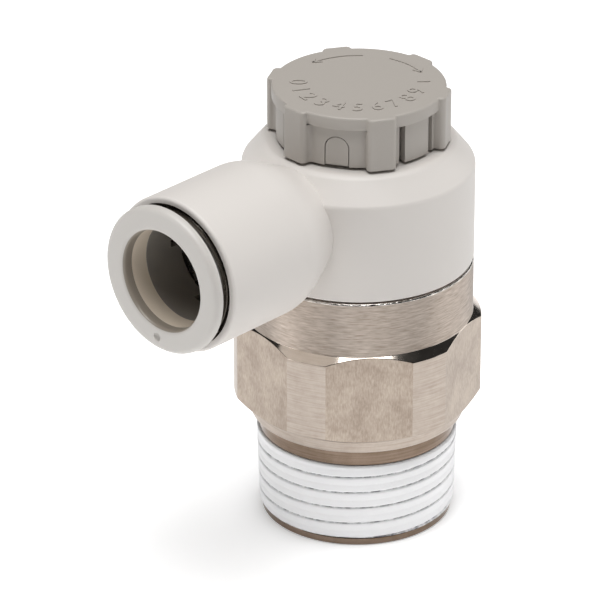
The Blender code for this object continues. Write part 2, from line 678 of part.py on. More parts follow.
def make_guide_o_ring(parent, material):
    inner = GUIDE_RADIUS - GUIDE_RING_CORD + RUNNING_GAP + SEAT_GAP
    outline = o_ring(GUIDE_RING_CORD - 2 * RUNNING_GAP, GUIDE_RING_MIDDLE, inner)
    return place("guide_o_ring", turned(outline, SMALL_STEPS), parent, material)


def make_needle(parent, material):
    """Metering needle with its taper at the foot, a seal groove and a hexagon socket in its head."""
    taper_top = ORIFICE_TOP + SEAT_GAP
    groove = NEEDLE_HEAD_RADIUS - NEEDLE_RING_CORD + RUNNING_GAP
    groove_low = NEEDLE_RING_MIDDLE - NEEDLE_RING_CORD / 2 - RUNNING_GAP
    groove_high = NEEDLE_RING_MIDDLE + NEEDLE_RING_CORD / 2 + RUNNING_GAP
    outline = [
        (0, taper_top - NEEDLE_TIP_LENGTH),
        (NEEDLE_TIP_RADIUS, taper_top - NEEDLE_TIP_LENGTH),
        (NEEDLE_RADIUS, taper_top),
        (NEEDLE_RADIUS, NEEDLE_HEAD - (NEEDLE_HEAD_RADIUS - NEEDLE_RADIUS)),
        (NEEDLE_HEAD_RADIUS, NEEDLE_HEAD),
        (NEEDLE_HEAD_RADIUS, groove_low),
        (groove, groove_low),
        (groove, groove_high),
        (NEEDLE_HEAD_RADIUS, groove_high),
        (NEEDLE_HEAD_RADIUS, NEEDLE_TOP),
        (0, NEEDLE_TOP),
    ]
    needle = place("needle", turned(outline, SMALL_STEPS), parent, material)
    hexagon = polygon(SHANK_ACROSS_FLATS + 2 * SLIDING_GAP)
    socket = prism(hexagon, SOCKET_BOTTOM, NEEDLE_TOP + FLOW_GAP, KNOB_TURN)
    boolean(needle, "socket", socket)
    return needle


def make_needle_o_ring(parent, material):
    inner = NEEDLE_HEAD_RADIUS - NEEDLE_RING_CORD + RUNNING_GAP + SEAT_GAP
    outline = o_ring(NEEDLE_RING_CORD - 2 * RUNNING_GAP, NEEDLE_RING_MIDDLE, inner)
    return place("needle_o_ring", turned(outline, SMALL_STEPS), parent, material)


def make_tube_seal(parent, material):
    """Lip seal round the tube, open towards the air."""
    inner = TUBE_BORE + SEAT_GAP
    outer = SEAL_BORE - SEAT_GAP
    lip = (outer - inner) / 4
    near = SEAL_END + SEAT_GAP
    valley = near + SEAL_LENGTH / 2
    far = near + SEAL_LENGTH
    outline = [
        (inner, -near),
        (inner, -far),
        (outer, -far),
        (outer, -near),
        (outer - lip, -near),
        (outer - 2 * lip, -valley),
        (inner + lip, -near),
    ]
    return place("tube_seal", turned(outline, SMALL_STEPS, "X"), parent, material)


def make_seal_backing_ring(parent, material):
    inner = TUBE_BORE + RUNNING_GAP
    outer = SEAL_BORE - SEAT_GAP
    far = BACKING_END + BACKING_LENGTH
    outline = [(inner, -BACKING_END), (inner, -far), (outer, -far), (outer, -BACKING_END)]
    return place("seal_backing_ring", turned(outline, SMALL_STEPS, "X"), parent, material)


def make_tube_chuck(parent, material):
    """Stainless chuck: an outer rim and a cone of teeth that lean in towards the tube stop."""
    shoulder = CHUCK_RIM_RADIUS - 1.5 * CHUCK_THICKNESS
    outline = [
        (CHUCK_RIM_RADIUS, -CHUCK_BACK),
        (CHUCK_RIM_RADIUS, -CHUCK_FRONT),
        (shoulder, -CHUCK_FRONT),
        (CHUCK_TIP_RADIUS, -CHUCK_BACK - CHUCK_THICKNESS),
        (CHUCK_TIP_RADIUS, -CHUCK_BACK),
        (shoulder - CHUCK_THICKNESS / 2, -CHUCK_FRONT + CHUCK_THICKNESS),
        (CHUCK_RIM_RADIUS - CHUCK_RIM, -CHUCK_FRONT + CHUCK_THICKNESS),
        (CHUCK_RIM_RADIUS - CHUCK_RIM, -CHUCK_BACK),
    ]
    chuck = place("tube_chuck", turned(outline, SMALL_STEPS, "X"), parent, material)
    reach = (CHUCK_TIP_RADIUS + 2 * shoulder) / 3
    slots = []
    for tooth in range(CHUCK_TEETH):
        slot = bmesh.new()
        bmesh.ops.create_cube(slot, size=1)
        size = (3 * CHUCK_LEAN, CHUCK_SLOT, reach - TUBE_RADIUS + FLOW_GAP)
        bmesh.ops.scale(slot, vec=size, verts=slot.verts)
        middle = (reach + TUBE_RADIUS - FLOW_GAP) / 2
        bmesh.ops.translate(slot, vec=(-CHUCK_BACK - CHUCK_LEAN / 2, 0, middle), verts=slot.verts)
        spread = Matrix.Rotation(2 * math.pi * tooth / CHUCK_TEETH, 3, "X")
        bmesh.ops.rotate(slot, cent=(0, 0, 0), matrix=spread, verts=slot.verts)
        slots.append(slot)
    boolean(chuck, "slots", gathered(slots))
    return chuck


def nose_end():
    """Where the button's nose ends, so that a full press stops just short of the teeth."""
    slope = CHUCK_LEAN / (CHUCK_RIM_RADIUS - 1.5 * CHUCK_THICKNESS - CHUCK_TIP_RADIUS)
    cone = CHUCK_BACK + CHUCK_THICKNESS + (NOSE_RADIUS - CHUCK_TIP_RADIUS) * slope
    return cone + BUTTON_STAND + RUNNING_GAP


def make_tube_guide(parent, material):
    """Metal ring pressed into the mouth. Its inner lip keeps the button's barb from coming out."""
    outer = MOUTH_RADIUS - SEAT_GAP
    inner = BARB_RADIUS + RUNNING_GAP
    lip = BUTTON_SLEEVE + RUNNING_GAP
    lip_back = nose_end() + BUTTON_NOSE + BUTTON_BARB_LENGTH + RUNNING_GAP
    lip_front = lip_back + GUIDE_LIP_LENGTH
    outline = [
        (inner, -GUIDE_BACK),
        (inner, -lip_back),
        (lip, -lip_back),
        (lip, -lip_front),
        (inner, -lip_front - (inner - lip)),
        (inner, -GUIDE_FRONT),
        (outer - GUIDE_NOSE_STEP, -GUIDE_FRONT),
        (outer - GUIDE_NOSE_STEP, -GUIDE_FRONT + GUIDE_NOSE_LENGTH),
        (outer, -GUIDE_FRONT + GUIDE_NOSE_LENGTH + GUIDE_NOSE_STEP),
        (outer, -GUIDE_BACK),
    ]
    return place("tube_guide", turned(outline, SMALL_STEPS, "X"), parent, material)


def make_release_button(parent, material):
    """Ring that is pushed in to free the tube, with a socket for the collet sleeve."""
    socket = NOSE_RADIUS + SEAT_GAP
    edge = BUTTON_FLANGE_RADIUS - BUTTON_EDGE
    outline = [
        (socket, -COLLET_FRONT + COLLET_SOCKET),
        (socket, -COLLET_FRONT),
        (BUTTON_BORE, -COLLET_FRONT),
        (BUTTON_BORE, -BUTTON_FACE + BUTTON_MOUTH_CHAMFER),
        (BUTTON_BORE + BUTTON_MOUTH_CHAMFER, -BUTTON_FACE),
    ]
    outline += arc(edge, -BUTTON_FACE + BUTTON_EDGE, BUTTON_EDGE, -90, 0)
    outline += [
        (BUTTON_FLANGE_RADIUS, -FLANGE_BACK),
        (BUTTON_SLEEVE, -FLANGE_BACK),
        (BUTTON_SLEEVE, -COLLET_FRONT + COLLET_SOCKET),
    ]
    button = place("release_button", turned(outline, OUTER_STEPS, "X"), parent, material)
    low = -BUTTON_FACE - DIMPLE_DEPTH
    high = -BUTTON_FACE + DIMPLE_DEPTH
    dimple = turned([(0, low), (DIMPLE_RADIUS, low), (DIMPLE_RADIUS, high), (0, high)], DRILL_STEPS, "X")
    middle = (BUTTON_BORE + BUTTON_MOUTH_CHAMFER + edge) / 2
    offset = (0, middle * math.cos(DIMPLE_ANGLE), middle * math.sin(DIMPLE_ANGLE))
    bmesh.ops.translate(dimple, vec=offset, verts=dimple.verts)
    boolean(button, "dimple", dimple)
    return button


def make_release_collet(parent, material):
    """Slotted sleeve in the button. Its nose opens the chuck, and its barb keeps it in the guide."""
    nose = nose_end()
    barb_back = nose + BUTTON_NOSE
    barb_front = barb_back + BUTTON_BARB_LENGTH
    outline = [
        (BUTTON_BORE, -nose),
        (BUTTON_BORE, -COLLET_FRONT + SEAT_GAP),
        (NOSE_RADIUS, -COLLET_FRONT + SEAT_GAP),
        (NOSE_RADIUS, -COLLET_FRONT + COLLET_SOCKET + SEAT_GAP),
        (BUTTON_SLEEVE, -COLLET_FRONT + COLLET_SOCKET + SEAT_GAP),
        (BUTTON_SLEEVE, -barb_front),
        (BARB_RADIUS, -barb_front),
        (BARB_RADIUS, -barb_back),
        (NOSE_RADIUS, -nose),
    ]
    collet = place("release_collet", turned(outline, SMALL_STEPS, "X"), parent, material)
    near = nose - FLOW_GAP
    far = barb_front + COLLET_SLOT_RISE
    slots = []
    for index in range(COLLET_SLOTS):
        slot = bmesh.new()
        bmesh.ops.create_cube(slot, size=1)
        reach = MOUTH_RADIUS - BUTTON_BORE / 2
        bmesh.ops.scale(slot, vec=(far - near, reach, COLLET_SLOT), verts=slot.verts)
        middle = (-(near + far) / 2, (MOUTH_RADIUS + BUTTON_BORE / 2) / 2, 0)
        bmesh.ops.translate(slot, vec=middle, verts=slot.verts)
        spread = Matrix.Rotation(2 * math.pi * index / COLLET_SLOTS, 3, "X")
        bmesh.ops.rotate(slot, cent=(0, 0, 0), matrix=spread, verts=slot.verts)
        slots.append(slot)
    boolean(collet, "slots", gathered(slots))
    return collet


def gap_angles(first):
    """Middles of every second gap between the grips."""
    return [KNOB_TURN + GRIP_PITCH * (gap + 0.5) for gap in range(first, GRIP_COUNT, 2)]


def knob_plan(gap_radius, grip_radius, root, arc_steps=5):
    """Plan of the knob: grips with rounded corners and splayed roots, and arcs in the gaps between."""
    half = GRIP_WIDTH / 2
    side = math.sqrt(gap_radius**2 - (half + root) ** 2)
    spread = math.asin((half + root) / gap_radius)
    tip = grip_radius - GRIP_CORNER
    points = []
    for grip in range(GRIP_COUNT):
        turn = KNOB_TURN + GRIP_PITCH * grip
        local = [(side, -half - root), (side + root, -half)]
        local += arc(tip, GRIP_CORNER - half, GRIP_CORNER, -90, 0, 2)
        local += arc(tip, half - GRIP_CORNER, GRIP_CORNER, 0, 90, 2)
        local += [(side + root, half), (side, half + root)]
        for along, across in local:
            x = along * math.cos(turn) - across * math.sin(turn)
            y = along * math.sin(turn) + across * math.cos(turn)
            points.append((x, y))
        for step in range(1, arc_steps):
            angle = turn + spread + (GRIP_PITCH - 2 * spread) * step / arc_steps
            points.append((gap_radius * math.cos(angle), gap_radius * math.sin(angle)))
    return points


def circle_plan(radius, plan):
    """A circle with a point at the angle of each point of a plan."""
    angles = [math.atan2(y, x) for x, y in plan]
    return [(radius * math.cos(angle), radius * math.sin(angle)) for angle in angles]


def lofted(sections):
    """Skins closed plan outlines, each at its height, and closes the first and the last."""
    bm = bmesh.new()
    rings = [[bm.verts.new((x, y, height)) for x, y in plan] for plan, height in sections]
    bm.faces.new(rings[0])
    bm.faces.new(rings[-1])
    for lower, upper in zip(rings, rings[1:]):
        for i in range(len(lower)):
            bm.faces.new((lower[i - 1], lower[i], upper[i], upper[i - 1]))
    return bm


def make_knob_cap(parent, material):
    """Cup with six grips. Every second gap has an arch window, and the others a snap finger."""
    wall = knob_plan(KNOB_WALL_RADIUS, GRIP_RADIUS, GRIP_ROOT)
    lip = knob_plan(KNOB_DISC_RADIUS, GRIP_RADIUS, RUNNING_GAP)
    top = knob_plan(KNOB_DISC_RADIUS - KNOB_TOP_EDGE, GRIP_RADIUS - KNOB_TOP_EDGE, RUNNING_GAP)
    inside = circle_plan(CAP_BORE, wall)
    cup = lofted(
        [
            (inside, LIP_BOTTOM),
            (inside, KNOB_BOTTOM),
            (wall, KNOB_BOTTOM),
            (wall, LIP_BOTTOM),
            (lip, LIP_BOTTOM),
            (lip, KNOB_TOP - KNOB_TOP_EDGE),
            (top, KNOB_TOP),
            (circle_plan(CAP_BORE, top), KNOB_TOP),
        ]
    )
    cap = place("knob_cap", cup, parent, material)
    low = KNOB_BOTTOM - KNOB_WALL
    near = CAP_BORE - KNOB_WALL / 2
    far = GRIP_RADIUS
    arches = [block(near, far, ARCH_WIDTH, low, ARCH_TOP, turn, True) for turn in gap_angles(1)]
    boolean(cap, "arches", gathered(arches))
    half = GRIP_WIDTH / 2 + GRIP_ROOT + FINGER_SLOT / 2 + RUNNING_GAP
    offset = GRIP_PITCH / 2 - math.asin(half / KNOB_WALL_RADIUS)
    slots = []
    for turn in gap_angles(0):
        for side in (-1, 1):
            angle = turn + side * offset
            slots.append(block(near, far, FINGER_SLOT, low, LIP_BOTTOM - RUNNING_GAP, angle))
    boolean(cap, "finger_slots", gathered(slots))
    near = CAP_BORE - LUG_DEPTH
    far = CAP_BORE + KNOB_WALL / 2
    lugs = [block(near, far, LUG_WIDTH, LUG_BOTTOM, LUG_TOP, turn) for turn in gap_angles(0)]
    boolean(cap, "lugs", gathered(lugs), "UNION")
    return cap


def make_knob_core(parent, material):
    """Inner ring that snaps on the boss, drives the needle by its shank and shows in the arches."""
    groove_low = PLATEAU + BOSS_GROOVE_RISE
    rib = BOSS_RADIUS - BOSS_GROOVE_DEPTH + SLIDING_GAP
    rib_low = groove_low + RUNNING_GAP
    rib_high = groove_low + BOSS_GROOVE_WIDTH - RUNNING_GAP
    outline = [
        (0, WEB_TOP),
        (CORE_RADIUS, WEB_TOP),
        (CORE_RADIUS, CORE_BOTTOM),
        (CORE_BORE, CORE_BOTTOM),
        (CORE_BORE, rib_low),
        (rib, rib_low),
        (rib, rib_high),
        (CORE_BORE, rib_high),
        (CORE_BORE, WEB_BOTTOM),
        (0, WEB_BOTTOM),
    ]
    core = place("knob_core", turned(outline), parent, material)
    shank = prism(polygon(SHANK_ACROSS_FLATS), SHANK_BOTTOM, WEB_TOP - CORE_WEB / 2, KNOB_TURN)
    boolean(core, "shank", shank, "UNION")
    width = ARCH_WIDTH - 2 * SLIDING_GAP
    top = ARCH_TOP - SLIDING_GAP
    near = CORE_RADIUS - CORE_WALL / 2
    far = KNOB_WALL_RADIUS - SLIDING_GAP
    tabs = [block(near, far, width, CORE_BOTTOM, top, turn, True) for turn in gap_angles(1)]
    boolean(core, "arch_tabs", gathered(tabs), "UNION")
    near = CAP_BORE - LUG_DEPTH - SLIDING_GAP
    far = CAP_BORE + SLIDING_GAP
    low = LUG_BOTTOM - SLIDING_GAP
    high = LUG_TOP + LOCK_TRAVEL + SLIDING_GAP
    width = LUG_WIDTH + 2 * SLIDING_GAP
    pockets = [block(near, far, width, low, high, turn) for turn in gap_angles(0)]
    boolean(core, "lug_pockets", gathered(pockets))
    return core


for item in list(bpy.data.objects):
    bpy.data.objects.remove(item)

plated_brass = finish("plated_brass", (0.62, 0.56, 0.50), 0.30, 1.0)
sealant_coating = finish("sealant_coating", (0.90, 0.90, 0.92), 0.55)
elbow_plastic = finish("elbow_plastic", (0.70, 0.67, 0.64), 0.45)
knob_plastic = finish("knob_plastic", (0.45, 0.43, 0.40), 0.50)
button_plastic = finish("button_plastic", (0.66, 0.66, 0.64), 0.45)
collet_plastic = finish("collet_plastic", (0.04, 0.04, 0.04), 0.35)
plain_brass = finish("plain_brass", (0.72, 0.55, 0.28), 0.30, 1.0)
stainless = finish("stainless", (0.60, 0.59, 0.57), 0.25, 1.0)
rubber = finish("rubber", (0.03, 0.03, 0.03), 0.70)

valve = empty("valve")
elbow_swivel = empty("elbow_swivel", parent=valve)
barrel_axis = empty("barrel_axis", BARREL_HEIGHT, elbow_swivel)
release_press = empty("release_press", BARREL_HEIGHT, elbow_swivel)
knob_turning = empty("knob_turning", parent=elbow_swivel)
knob_lock = empty("knob_lock", parent=knob_turning)
needle_feed = empty("needle_feed", parent=knob_turning)

make_brass_body(valve, plated_brass)
make_thread_sealant(valve, sealant_coating)
make_retaining_clip(valve, stainless)

make_elbow_body(elbow_swivel, elbow_plastic)
make_body_o_ring(elbow_swivel, rubber)
make_orifice_sleeve(elbow_swivel, plain_brass)
make_check_seal(elbow_swivel, rubber)
make_check_seal_spacer(elbow_swivel, elbow_plastic)
make_needle_guide(elbow_swivel, plain_brass)
make_guide_o_ring(elbow_swivel, rubber)
make_tube_seal(barrel_axis, rubber)
make_seal_backing_ring(barrel_axis, button_plastic)
make_tube_chuck(barrel_axis, stainless)
make_tube_guide(barrel_axis, stainless)

make_release_button(release_press, button_plastic)
make_release_collet(release_press, collet_plastic)

make_knob_core(knob_turning, knob_plastic)
make_knob_cap(knob_lock, knob_plastic)
make_needle(needle_feed, plain_brass)
make_needle_o_ring(needle_feed, rubber)
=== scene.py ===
import json
import math

import bmesh
import bpy
from mathutils import Matrix, Vector

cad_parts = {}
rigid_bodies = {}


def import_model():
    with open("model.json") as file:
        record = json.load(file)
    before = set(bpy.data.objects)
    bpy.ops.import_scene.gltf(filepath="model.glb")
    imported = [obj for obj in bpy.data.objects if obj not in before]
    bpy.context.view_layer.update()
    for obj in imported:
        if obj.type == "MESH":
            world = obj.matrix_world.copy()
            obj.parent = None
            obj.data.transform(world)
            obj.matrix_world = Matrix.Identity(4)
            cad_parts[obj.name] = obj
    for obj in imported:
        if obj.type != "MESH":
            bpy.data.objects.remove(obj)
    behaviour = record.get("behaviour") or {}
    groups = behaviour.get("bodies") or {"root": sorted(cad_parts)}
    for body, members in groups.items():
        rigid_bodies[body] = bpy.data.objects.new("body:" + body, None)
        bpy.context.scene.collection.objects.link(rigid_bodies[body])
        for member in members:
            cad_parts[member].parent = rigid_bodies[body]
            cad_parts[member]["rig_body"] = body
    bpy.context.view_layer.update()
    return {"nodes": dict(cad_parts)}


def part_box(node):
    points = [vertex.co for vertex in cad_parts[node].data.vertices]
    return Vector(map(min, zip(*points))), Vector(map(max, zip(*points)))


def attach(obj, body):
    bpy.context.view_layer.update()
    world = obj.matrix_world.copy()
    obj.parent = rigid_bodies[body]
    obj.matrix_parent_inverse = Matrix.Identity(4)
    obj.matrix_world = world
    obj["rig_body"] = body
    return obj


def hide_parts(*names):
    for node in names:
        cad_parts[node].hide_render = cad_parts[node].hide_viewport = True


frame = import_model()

# Brass body
# One piece turned from hexagon bar and nickel-plated: taper thread, neck, hexagon with its corners
# turned off, and the thin collar that the elbow swivels in. It screws into the port and stays still.
BODY_LOW, BODY_HIGH = (corner.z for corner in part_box("brass_body"))
HEX_ACROSS_FLATS = 0.0240
HEX_CORNER_RADIUS = 0.0128
HEX_TURN = math.radians(18.2)
HEX_LOW = 0.01145
HEX_HIGH = 0.02285
CHAMFER_SLOPE = math.radians(30)
CONE_SLOPE = math.radians(42)
LAND_RADIUS = 0.0111
LAND_TOP = 0.01265
COLLAR_RADIUS = 0.0119
COLLAR_BORE = 0.0099
COLLAR_FLOOR = 0.0233
BURR = 0.0002
SEAL_BORE = 0.0076
SEAL_BORE_LOW = 0.0203
PORT_RADIUS = 0.0060
PORT_TOP = 0.0187
PORT_CHAMFER = 0.0004
THREAD_CREST = 0.01045
THREAD_TOP = 0.00955
THREAD_BOTTOM = 0.0008
THREAD_TAPER = 1 / 32
TIP_CHAMFER = 0.00015
TIP_EDGE = 0.00004
COATING = 0.0010
NECK_RADIUS = 0.0102
SMALL_EDGE = 0.0001
LATHE_STEPS = 192
SHARP_ANGLE = math.radians(30)


def linear(code):
    """Linear colour of an sRGB hex value."""
    channels = [int(code[i : i + 2], 16) / 255 for i in (0, 2, 4)]
    return [c / 12.92 if c <= 0.04045 else ((c + 0.055) / 1.055) ** 2.4 for c in channels] + [1]


def add(tree, kind, links=None, **settings):
    """Adds a node with its settings. An output is connected to the socket, any other value is set on it."""
    node = tree.nodes.new(kind)
    for name, value in settings.items():
        setattr(node, name, value)
    for socket, value in (links or {}).items():
        if isinstance(value, bpy.types.NodeSocket):
            tree.links.new(value, node.inputs[socket])
        else:
            node.inputs[socket].default_value = value
    return node


def new_finish(name):
    """A new material, with its nodes, its shader and the place of each point on the valve."""
    material = bpy.data.materials.new(name)
    material.use_nodes = True
    tree = material.node_tree
    place = add(tree, "ShaderNodeTexCoord").outputs["Object"]
    return material, tree, tree.nodes["Principled BSDF"], place


def turned(corners, steps=LATHE_STEPS, along="Z", rows=0):
    """Turns an outline of (radius, position, rounding) corners about an upright or a level axis.

    The side from the second corner to the third is cut in this many rows, if it is to be shaped further.
    """
    bm = bmesh.new()
    verts = [
        bm.verts.new((radius, 0, position) if along == "Z" else (position, 0, radius))
        for radius, position, rounding in corners
    ]
    bm.faces.new(verts)
    if rows:
        side = bm.edges.get((verts[1], verts[2]))
        bmesh.ops.subdivide_edges(bm, edges=[side], cuts=rows)
    for vert, (radius, position, rounding) in zip(verts, corners):
        if rounding:
            bmesh.ops.bevel(
                bm, geom=[vert], offset=rounding, offset_type="OFFSET", affect="VERTICES",
                segments=4, profile=0.5, material=-1,
            )
    bmesh.ops.delete(bm, geom=bm.faces[:], context="FACES_ONLY")
    axis = Vector((0, 0, 1)) if along == "Z" else Vector((1, 0, 0))
    bmesh.ops.spin(
        bm, geom=bm.verts[:] + bm.edges[:], cent=(0, 0, 0), axis=axis,
        angle=2 * math.pi, steps=steps, use_merge=True,
    )
    bmesh.ops.remove_doubles(bm, verts=bm.verts, dist=1e-7)
    bmesh.ops.recalc_face_normals(bm, faces=bm.faces)
    return bm


def hexagon_bar(across_flats, low, high, turn):
    """A hexagon bar on the valve's axis, from one height to another."""
    corner = across_flats / 2 / math.cos(math.pi / 6)
    bm = bmesh.new()
    bmesh.ops.create_cone(
        bm, cap_ends=True, segments=6, radius1=corner, radius2=corner, depth=high - low,
    )
    bmesh.ops.translate(bm, vec=(0, 0, (low + high) / 2), verts=bm.verts)
    turning = Matrix.Rotation(turn + math.pi / 6, 3, "Z")
    bmesh.ops.rotate(bm, cent=(0, 0, 0), matrix=turning, verts=bm.verts)
    return bm


def loose(bm):
    """A scene object of the mesh, which is freed."""
    mesh = bpy.data.meshes.new("loose")
    bm.to_mesh(mesh)
    bm.free()
    piece = bpy.data.objects.new("loose", mesh)
    bpy.context.scene.collection.objects.link(piece)
    return piece


def machined(bm, *steps):
    """The mesh after each (operation, tool) has been worked on it in turn. The tools are used up."""
    blank = loose(bm)
    tools = []
    for operation, tool in steps:
        tools.append(loose(tool))
        modifier = blank.modifiers.new("tool", "BOOLEAN")
        modifier.object = tools[-1]
        modifier.operation = operation
        modifier.solver = "EXACT"
    bpy.context.view_layer.update()
    worked = blank.evaluated_get(bpy.context.evaluated_depsgraph_get())
    result = bmesh.new()
    result.from_mesh(worked.to_mesh())
    worked.to_mesh_clear()
    for used in [blank, *tools]:
        bpy.data.objects.remove(used)
    bmesh.ops.remove_doubles(result, verts=result.verts, dist=2e-6)
    return result


def fitted(name, bm, materials, node, edge=0.0):
    """A piece that stands for a CAD node and rides on its body, with its sharp edges broken."""
    piece = loose(bm)
    piece.name = piece.data.name = name
    for material in materials:
        piece.data.materials.append(material)
    piece.data.shade_smooth()
    piece.data.set_sharp_from_angle(angle=SHARP_ANGLE)
    if edge:
        broken = piece.modifiers.new("broken_edges", "BEVEL")
        broken.width = edge
        broken.segments = 2
        broken.limit_method = "ANGLE"
        broken.angle_limit = SHARP_ANGLE
        broken.use_clamp_overlap = False
        broken.harden_normals = True
    weighted = piece.modifiers.new("flat_faces", "WEIGHTED_NORMAL")
    weighted.keep_sharp = True
    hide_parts(node)
    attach(piece, frame["nodes"][node]["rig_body"])
    return piece


def nickel_plate(name, marks, depth, tints, gloss=0.34, mottle=1.0, cloud=0.0014, stretch=0.0):
    """Nickel on machined brass, whose tool marks have this size along X, Y and Z, and this depth.

    Two tints lie on it in marks and clouds, and mottle is the share of the clouds, whose size is cloud.
    A stretched gloss is drawn out across the marks.
    """
    material, tree, shader, place = new_finish(name)
    across = add(tree, "ShaderNodeMapping", {"Vector": place, "Scale": [1 / size for size in marks]})
    grooves = add(
        tree, "ShaderNodeTexNoise", {"Vector": across.outputs["Vector"], "Scale": 1.0, "Detail": 3.0}
    ).outputs["Fac"]
    clouds = add(
        tree, "ShaderNodeTexNoise", {"Vector": place, "Scale": 1 / cloud, "Detail": 5.0, "Roughness": 0.65}
    ).outputs["Fac"]
    bloom = add(tree, "ShaderNodeMath", {0: clouds, 1: mottle}, operation="MULTIPLY").outputs[0]
    blend = add(tree, "ShaderNodeMath", {0: grooves, 1: bloom}, operation="ADD").outputs[0]
    middle = (1 + mottle) / 2
    share = add(
        tree, "ShaderNodeMapRange", {"Value": blend, "From Min": middle - 0.3, "From Max": middle + 0.3}
    ).outputs["Result"]
    light, dark = tints
    colour = add(
        tree, "ShaderNodeMix", {0: share, 6: linear(dark), 7: linear(light)}, data_type="RGBA"
    ).outputs[2]
    dullness = add(
        tree,
        "ShaderNodeMapRange",
        {"Value": clouds, "From Min": 0.3, "From Max": 0.7, "To Min": gloss - 0.05, "To Max": gloss + 0.05},
    ).outputs["Result"]
    relief = add(tree, "ShaderNodeBump", {"Height": grooves, "Strength": 1.0, "Distance": depth})
    tree.links.new(colour, shader.inputs["Base Color"])
    tree.links.new(dullness, shader.inputs["Roughness"])
    tree.links.new(relief.outputs["Normal"], shader.inputs["Normal"])
    round_axis = add(tree, "ShaderNodeTangent", direction_type="RADIAL", axis="Z")
    tree.links.new(round_axis.outputs["Tangent"], shader.inputs["Tangent"])
    shader.inputs["Anisotropic"].default_value = stretch
    shader.inputs["Anisotropic Rotation"].default_value = 0.25
    shader.inputs["Metallic"].default_value = 1.0
    return material


def crest(height):
    """Radius over the coated thread, which tapers towards the open end."""
    return THREAD_CREST - (THREAD_TOP - height) * THREAD_TAPER


# Lathe marks run round the collar. They are drawn a tenth of a millimetre apart, coarser than the real
# ones, so that they show as fine level lines.
turned_plate = nickel_plate(
    "nickel_plate_turned", marks=(0.0013, 0.0013, 0.00013), depth=0.000003, tints=("D6CAC0", "9E9083"),
    gloss=0.48, mottle=0.35, stretch=0.9,
)
# Drawn bar has marks along its length, which show as fine upright strokes under a cloudy bloom.
drawn_plate = nickel_plate(
    "nickel_plate_drawn", marks=(0.00014, 0.00014, 0.0005), depth=0.0000015, tints=("B5A89B", "94867A"),
    mottle=1.4, cloud=0.0026,
)
# The neck and the tip are cut with a sharp tool and polished. Their dark brown tints are painted shade and a
# painted dark reflection, under the hexagon and at the foot.
polished_plate_painted_shade = nickel_plate(
    "nickel_plate_polished_painted_shade", marks=(0.006, 0.006, 0.0002), depth=0.000001, tints=("88776A", "6C5C4D"),
    gloss=0.14, mottle=0.6, stretch=0.5,
)
# The hexagon's lower chamfer and the land under it are smoother than the collar, and more even.
bright_plate = nickel_plate(
    "nickel_plate_bright", marks=(0.004, 0.004, 0.00014), depth=0.000001, tints=("BBB0A6", "A09388"),
    mottle=0.8,
)
# The cone over the hexagon is the smoothest of all, and shines where it faces a light.
mirror_plate = nickel_plate(
    "nickel_plate_mirror", marks=(0.004, 0.004, 0.0002), depth=0.000001, tints=("E2D8CE", "CFC3B7"),
    gloss=0.12, mottle=0.6,
)
# The collar's upper edge is left with a burr, whose bumps break up its gloss. Its near-white and near-black
# patches of tint are painted glints and painted shade.
burr_plate_painted_glints = nickel_plate(
    "nickel_plate_burr_painted_glints", marks=(0.0007, 0.0007, 0.0003), depth=0.00012, tints=("FFFAF4", "463D34"),
    gloss=0.12, mottle=0.1,
)
finishes = [turned_plate, drawn_plate, polished_plate_painted_shade, bright_plate, mirror_plate, burr_plate_painted_glints]

tip_radius = crest(THREAD_BOTTOM) - COATING / 4
chamfer_top = LAND_TOP + (HEX_CORNER_RADIUS - LAND_RADIUS) * math.tan(CHAMFER_SLOPE)
cone_low = HEX_HIGH - (HEX_CORNER_RADIUS - COLLAR_RADIUS) * math.tan(CONE_SLOPE)
bar = turned(
    [
        (PORT_RADIUS + PORT_CHAMFER, BODY_LOW, 0),
        (tip_radius - TIP_CHAMFER, BODY_LOW, TIP_EDGE),
        (tip_radius, BODY_LOW + TIP_CHAMFER, TIP_EDGE),
        (tip_radius, THREAD_BOTTOM, 0),
        (crest(THREAD_BOTTOM) - COATING, THREAD_BOTTOM, 0),
        (crest(THREAD_TOP) - COATING, THREAD_TOP, 0),
        (NECK_RADIUS, THREAD_TOP, 0),
        (NECK_RADIUS, HEX_LOW, 0),
        (LAND_RADIUS, HEX_LOW, 0.00015),
        (LAND_RADIUS, LAND_TOP, 0),
        (HEX_CORNER_RADIUS, chamfer_top, 0),
        (HEX_CORNER_RADIUS, cone_low, 0),
        (COLLAR_RADIUS, HEX_HIGH, 0),
        (COLLAR_RADIUS, BODY_HIGH, BURR),
        (COLLAR_BORE, BODY_HIGH, 0.00012),
        (COLLAR_BORE, COLLAR_FLOOR, 0),
        (SEAL_BORE, COLLAR_FLOOR, SMALL_EDGE),
        (SEAL_BORE, SEAL_BORE_LOW, 0),
        (PORT_RADIUS, PORT_TOP, 0),
        (PORT_RADIUS, BODY_LOW + PORT_CHAMFER, 0),
    ]
)
for face in bar.faces:
    middle = face.calc_center_median()
    if chamfer_top < middle.z < HEX_HIGH and face.normal.z > 0.3:
        face.material_index = finishes.index(mirror_plate)
    elif middle.z > BODY_HIGH - BURR and middle.xy.length > COLLAR_RADIUS - BURR:
        face.material_index = finishes.index(burr_plate_painted_glints)
    # Neck and tip: the dark polished finish with its painted shade.
    elif middle.z < LAND_TOP and middle.xy.length < NECK_RADIUS + 0.0002:
        face.material_index = finishes.index(polished_plate_painted_shade)
    elif middle.z < HEX_HIGH:
        face.material_index = finishes.index(bright_plate)
flats = hexagon_bar(HEX_ACROSS_FLATS, BODY_LOW - 0.001, BODY_HIGH + 0.001, HEX_TURN)
for face in flats.faces:
    face.material_index = finishes.index(drawn_plate)
plated = machined(bar, ("INTERSECT", flats))
fitted("plated_body", plated, finishes, "brass_body", edge=0.00006)
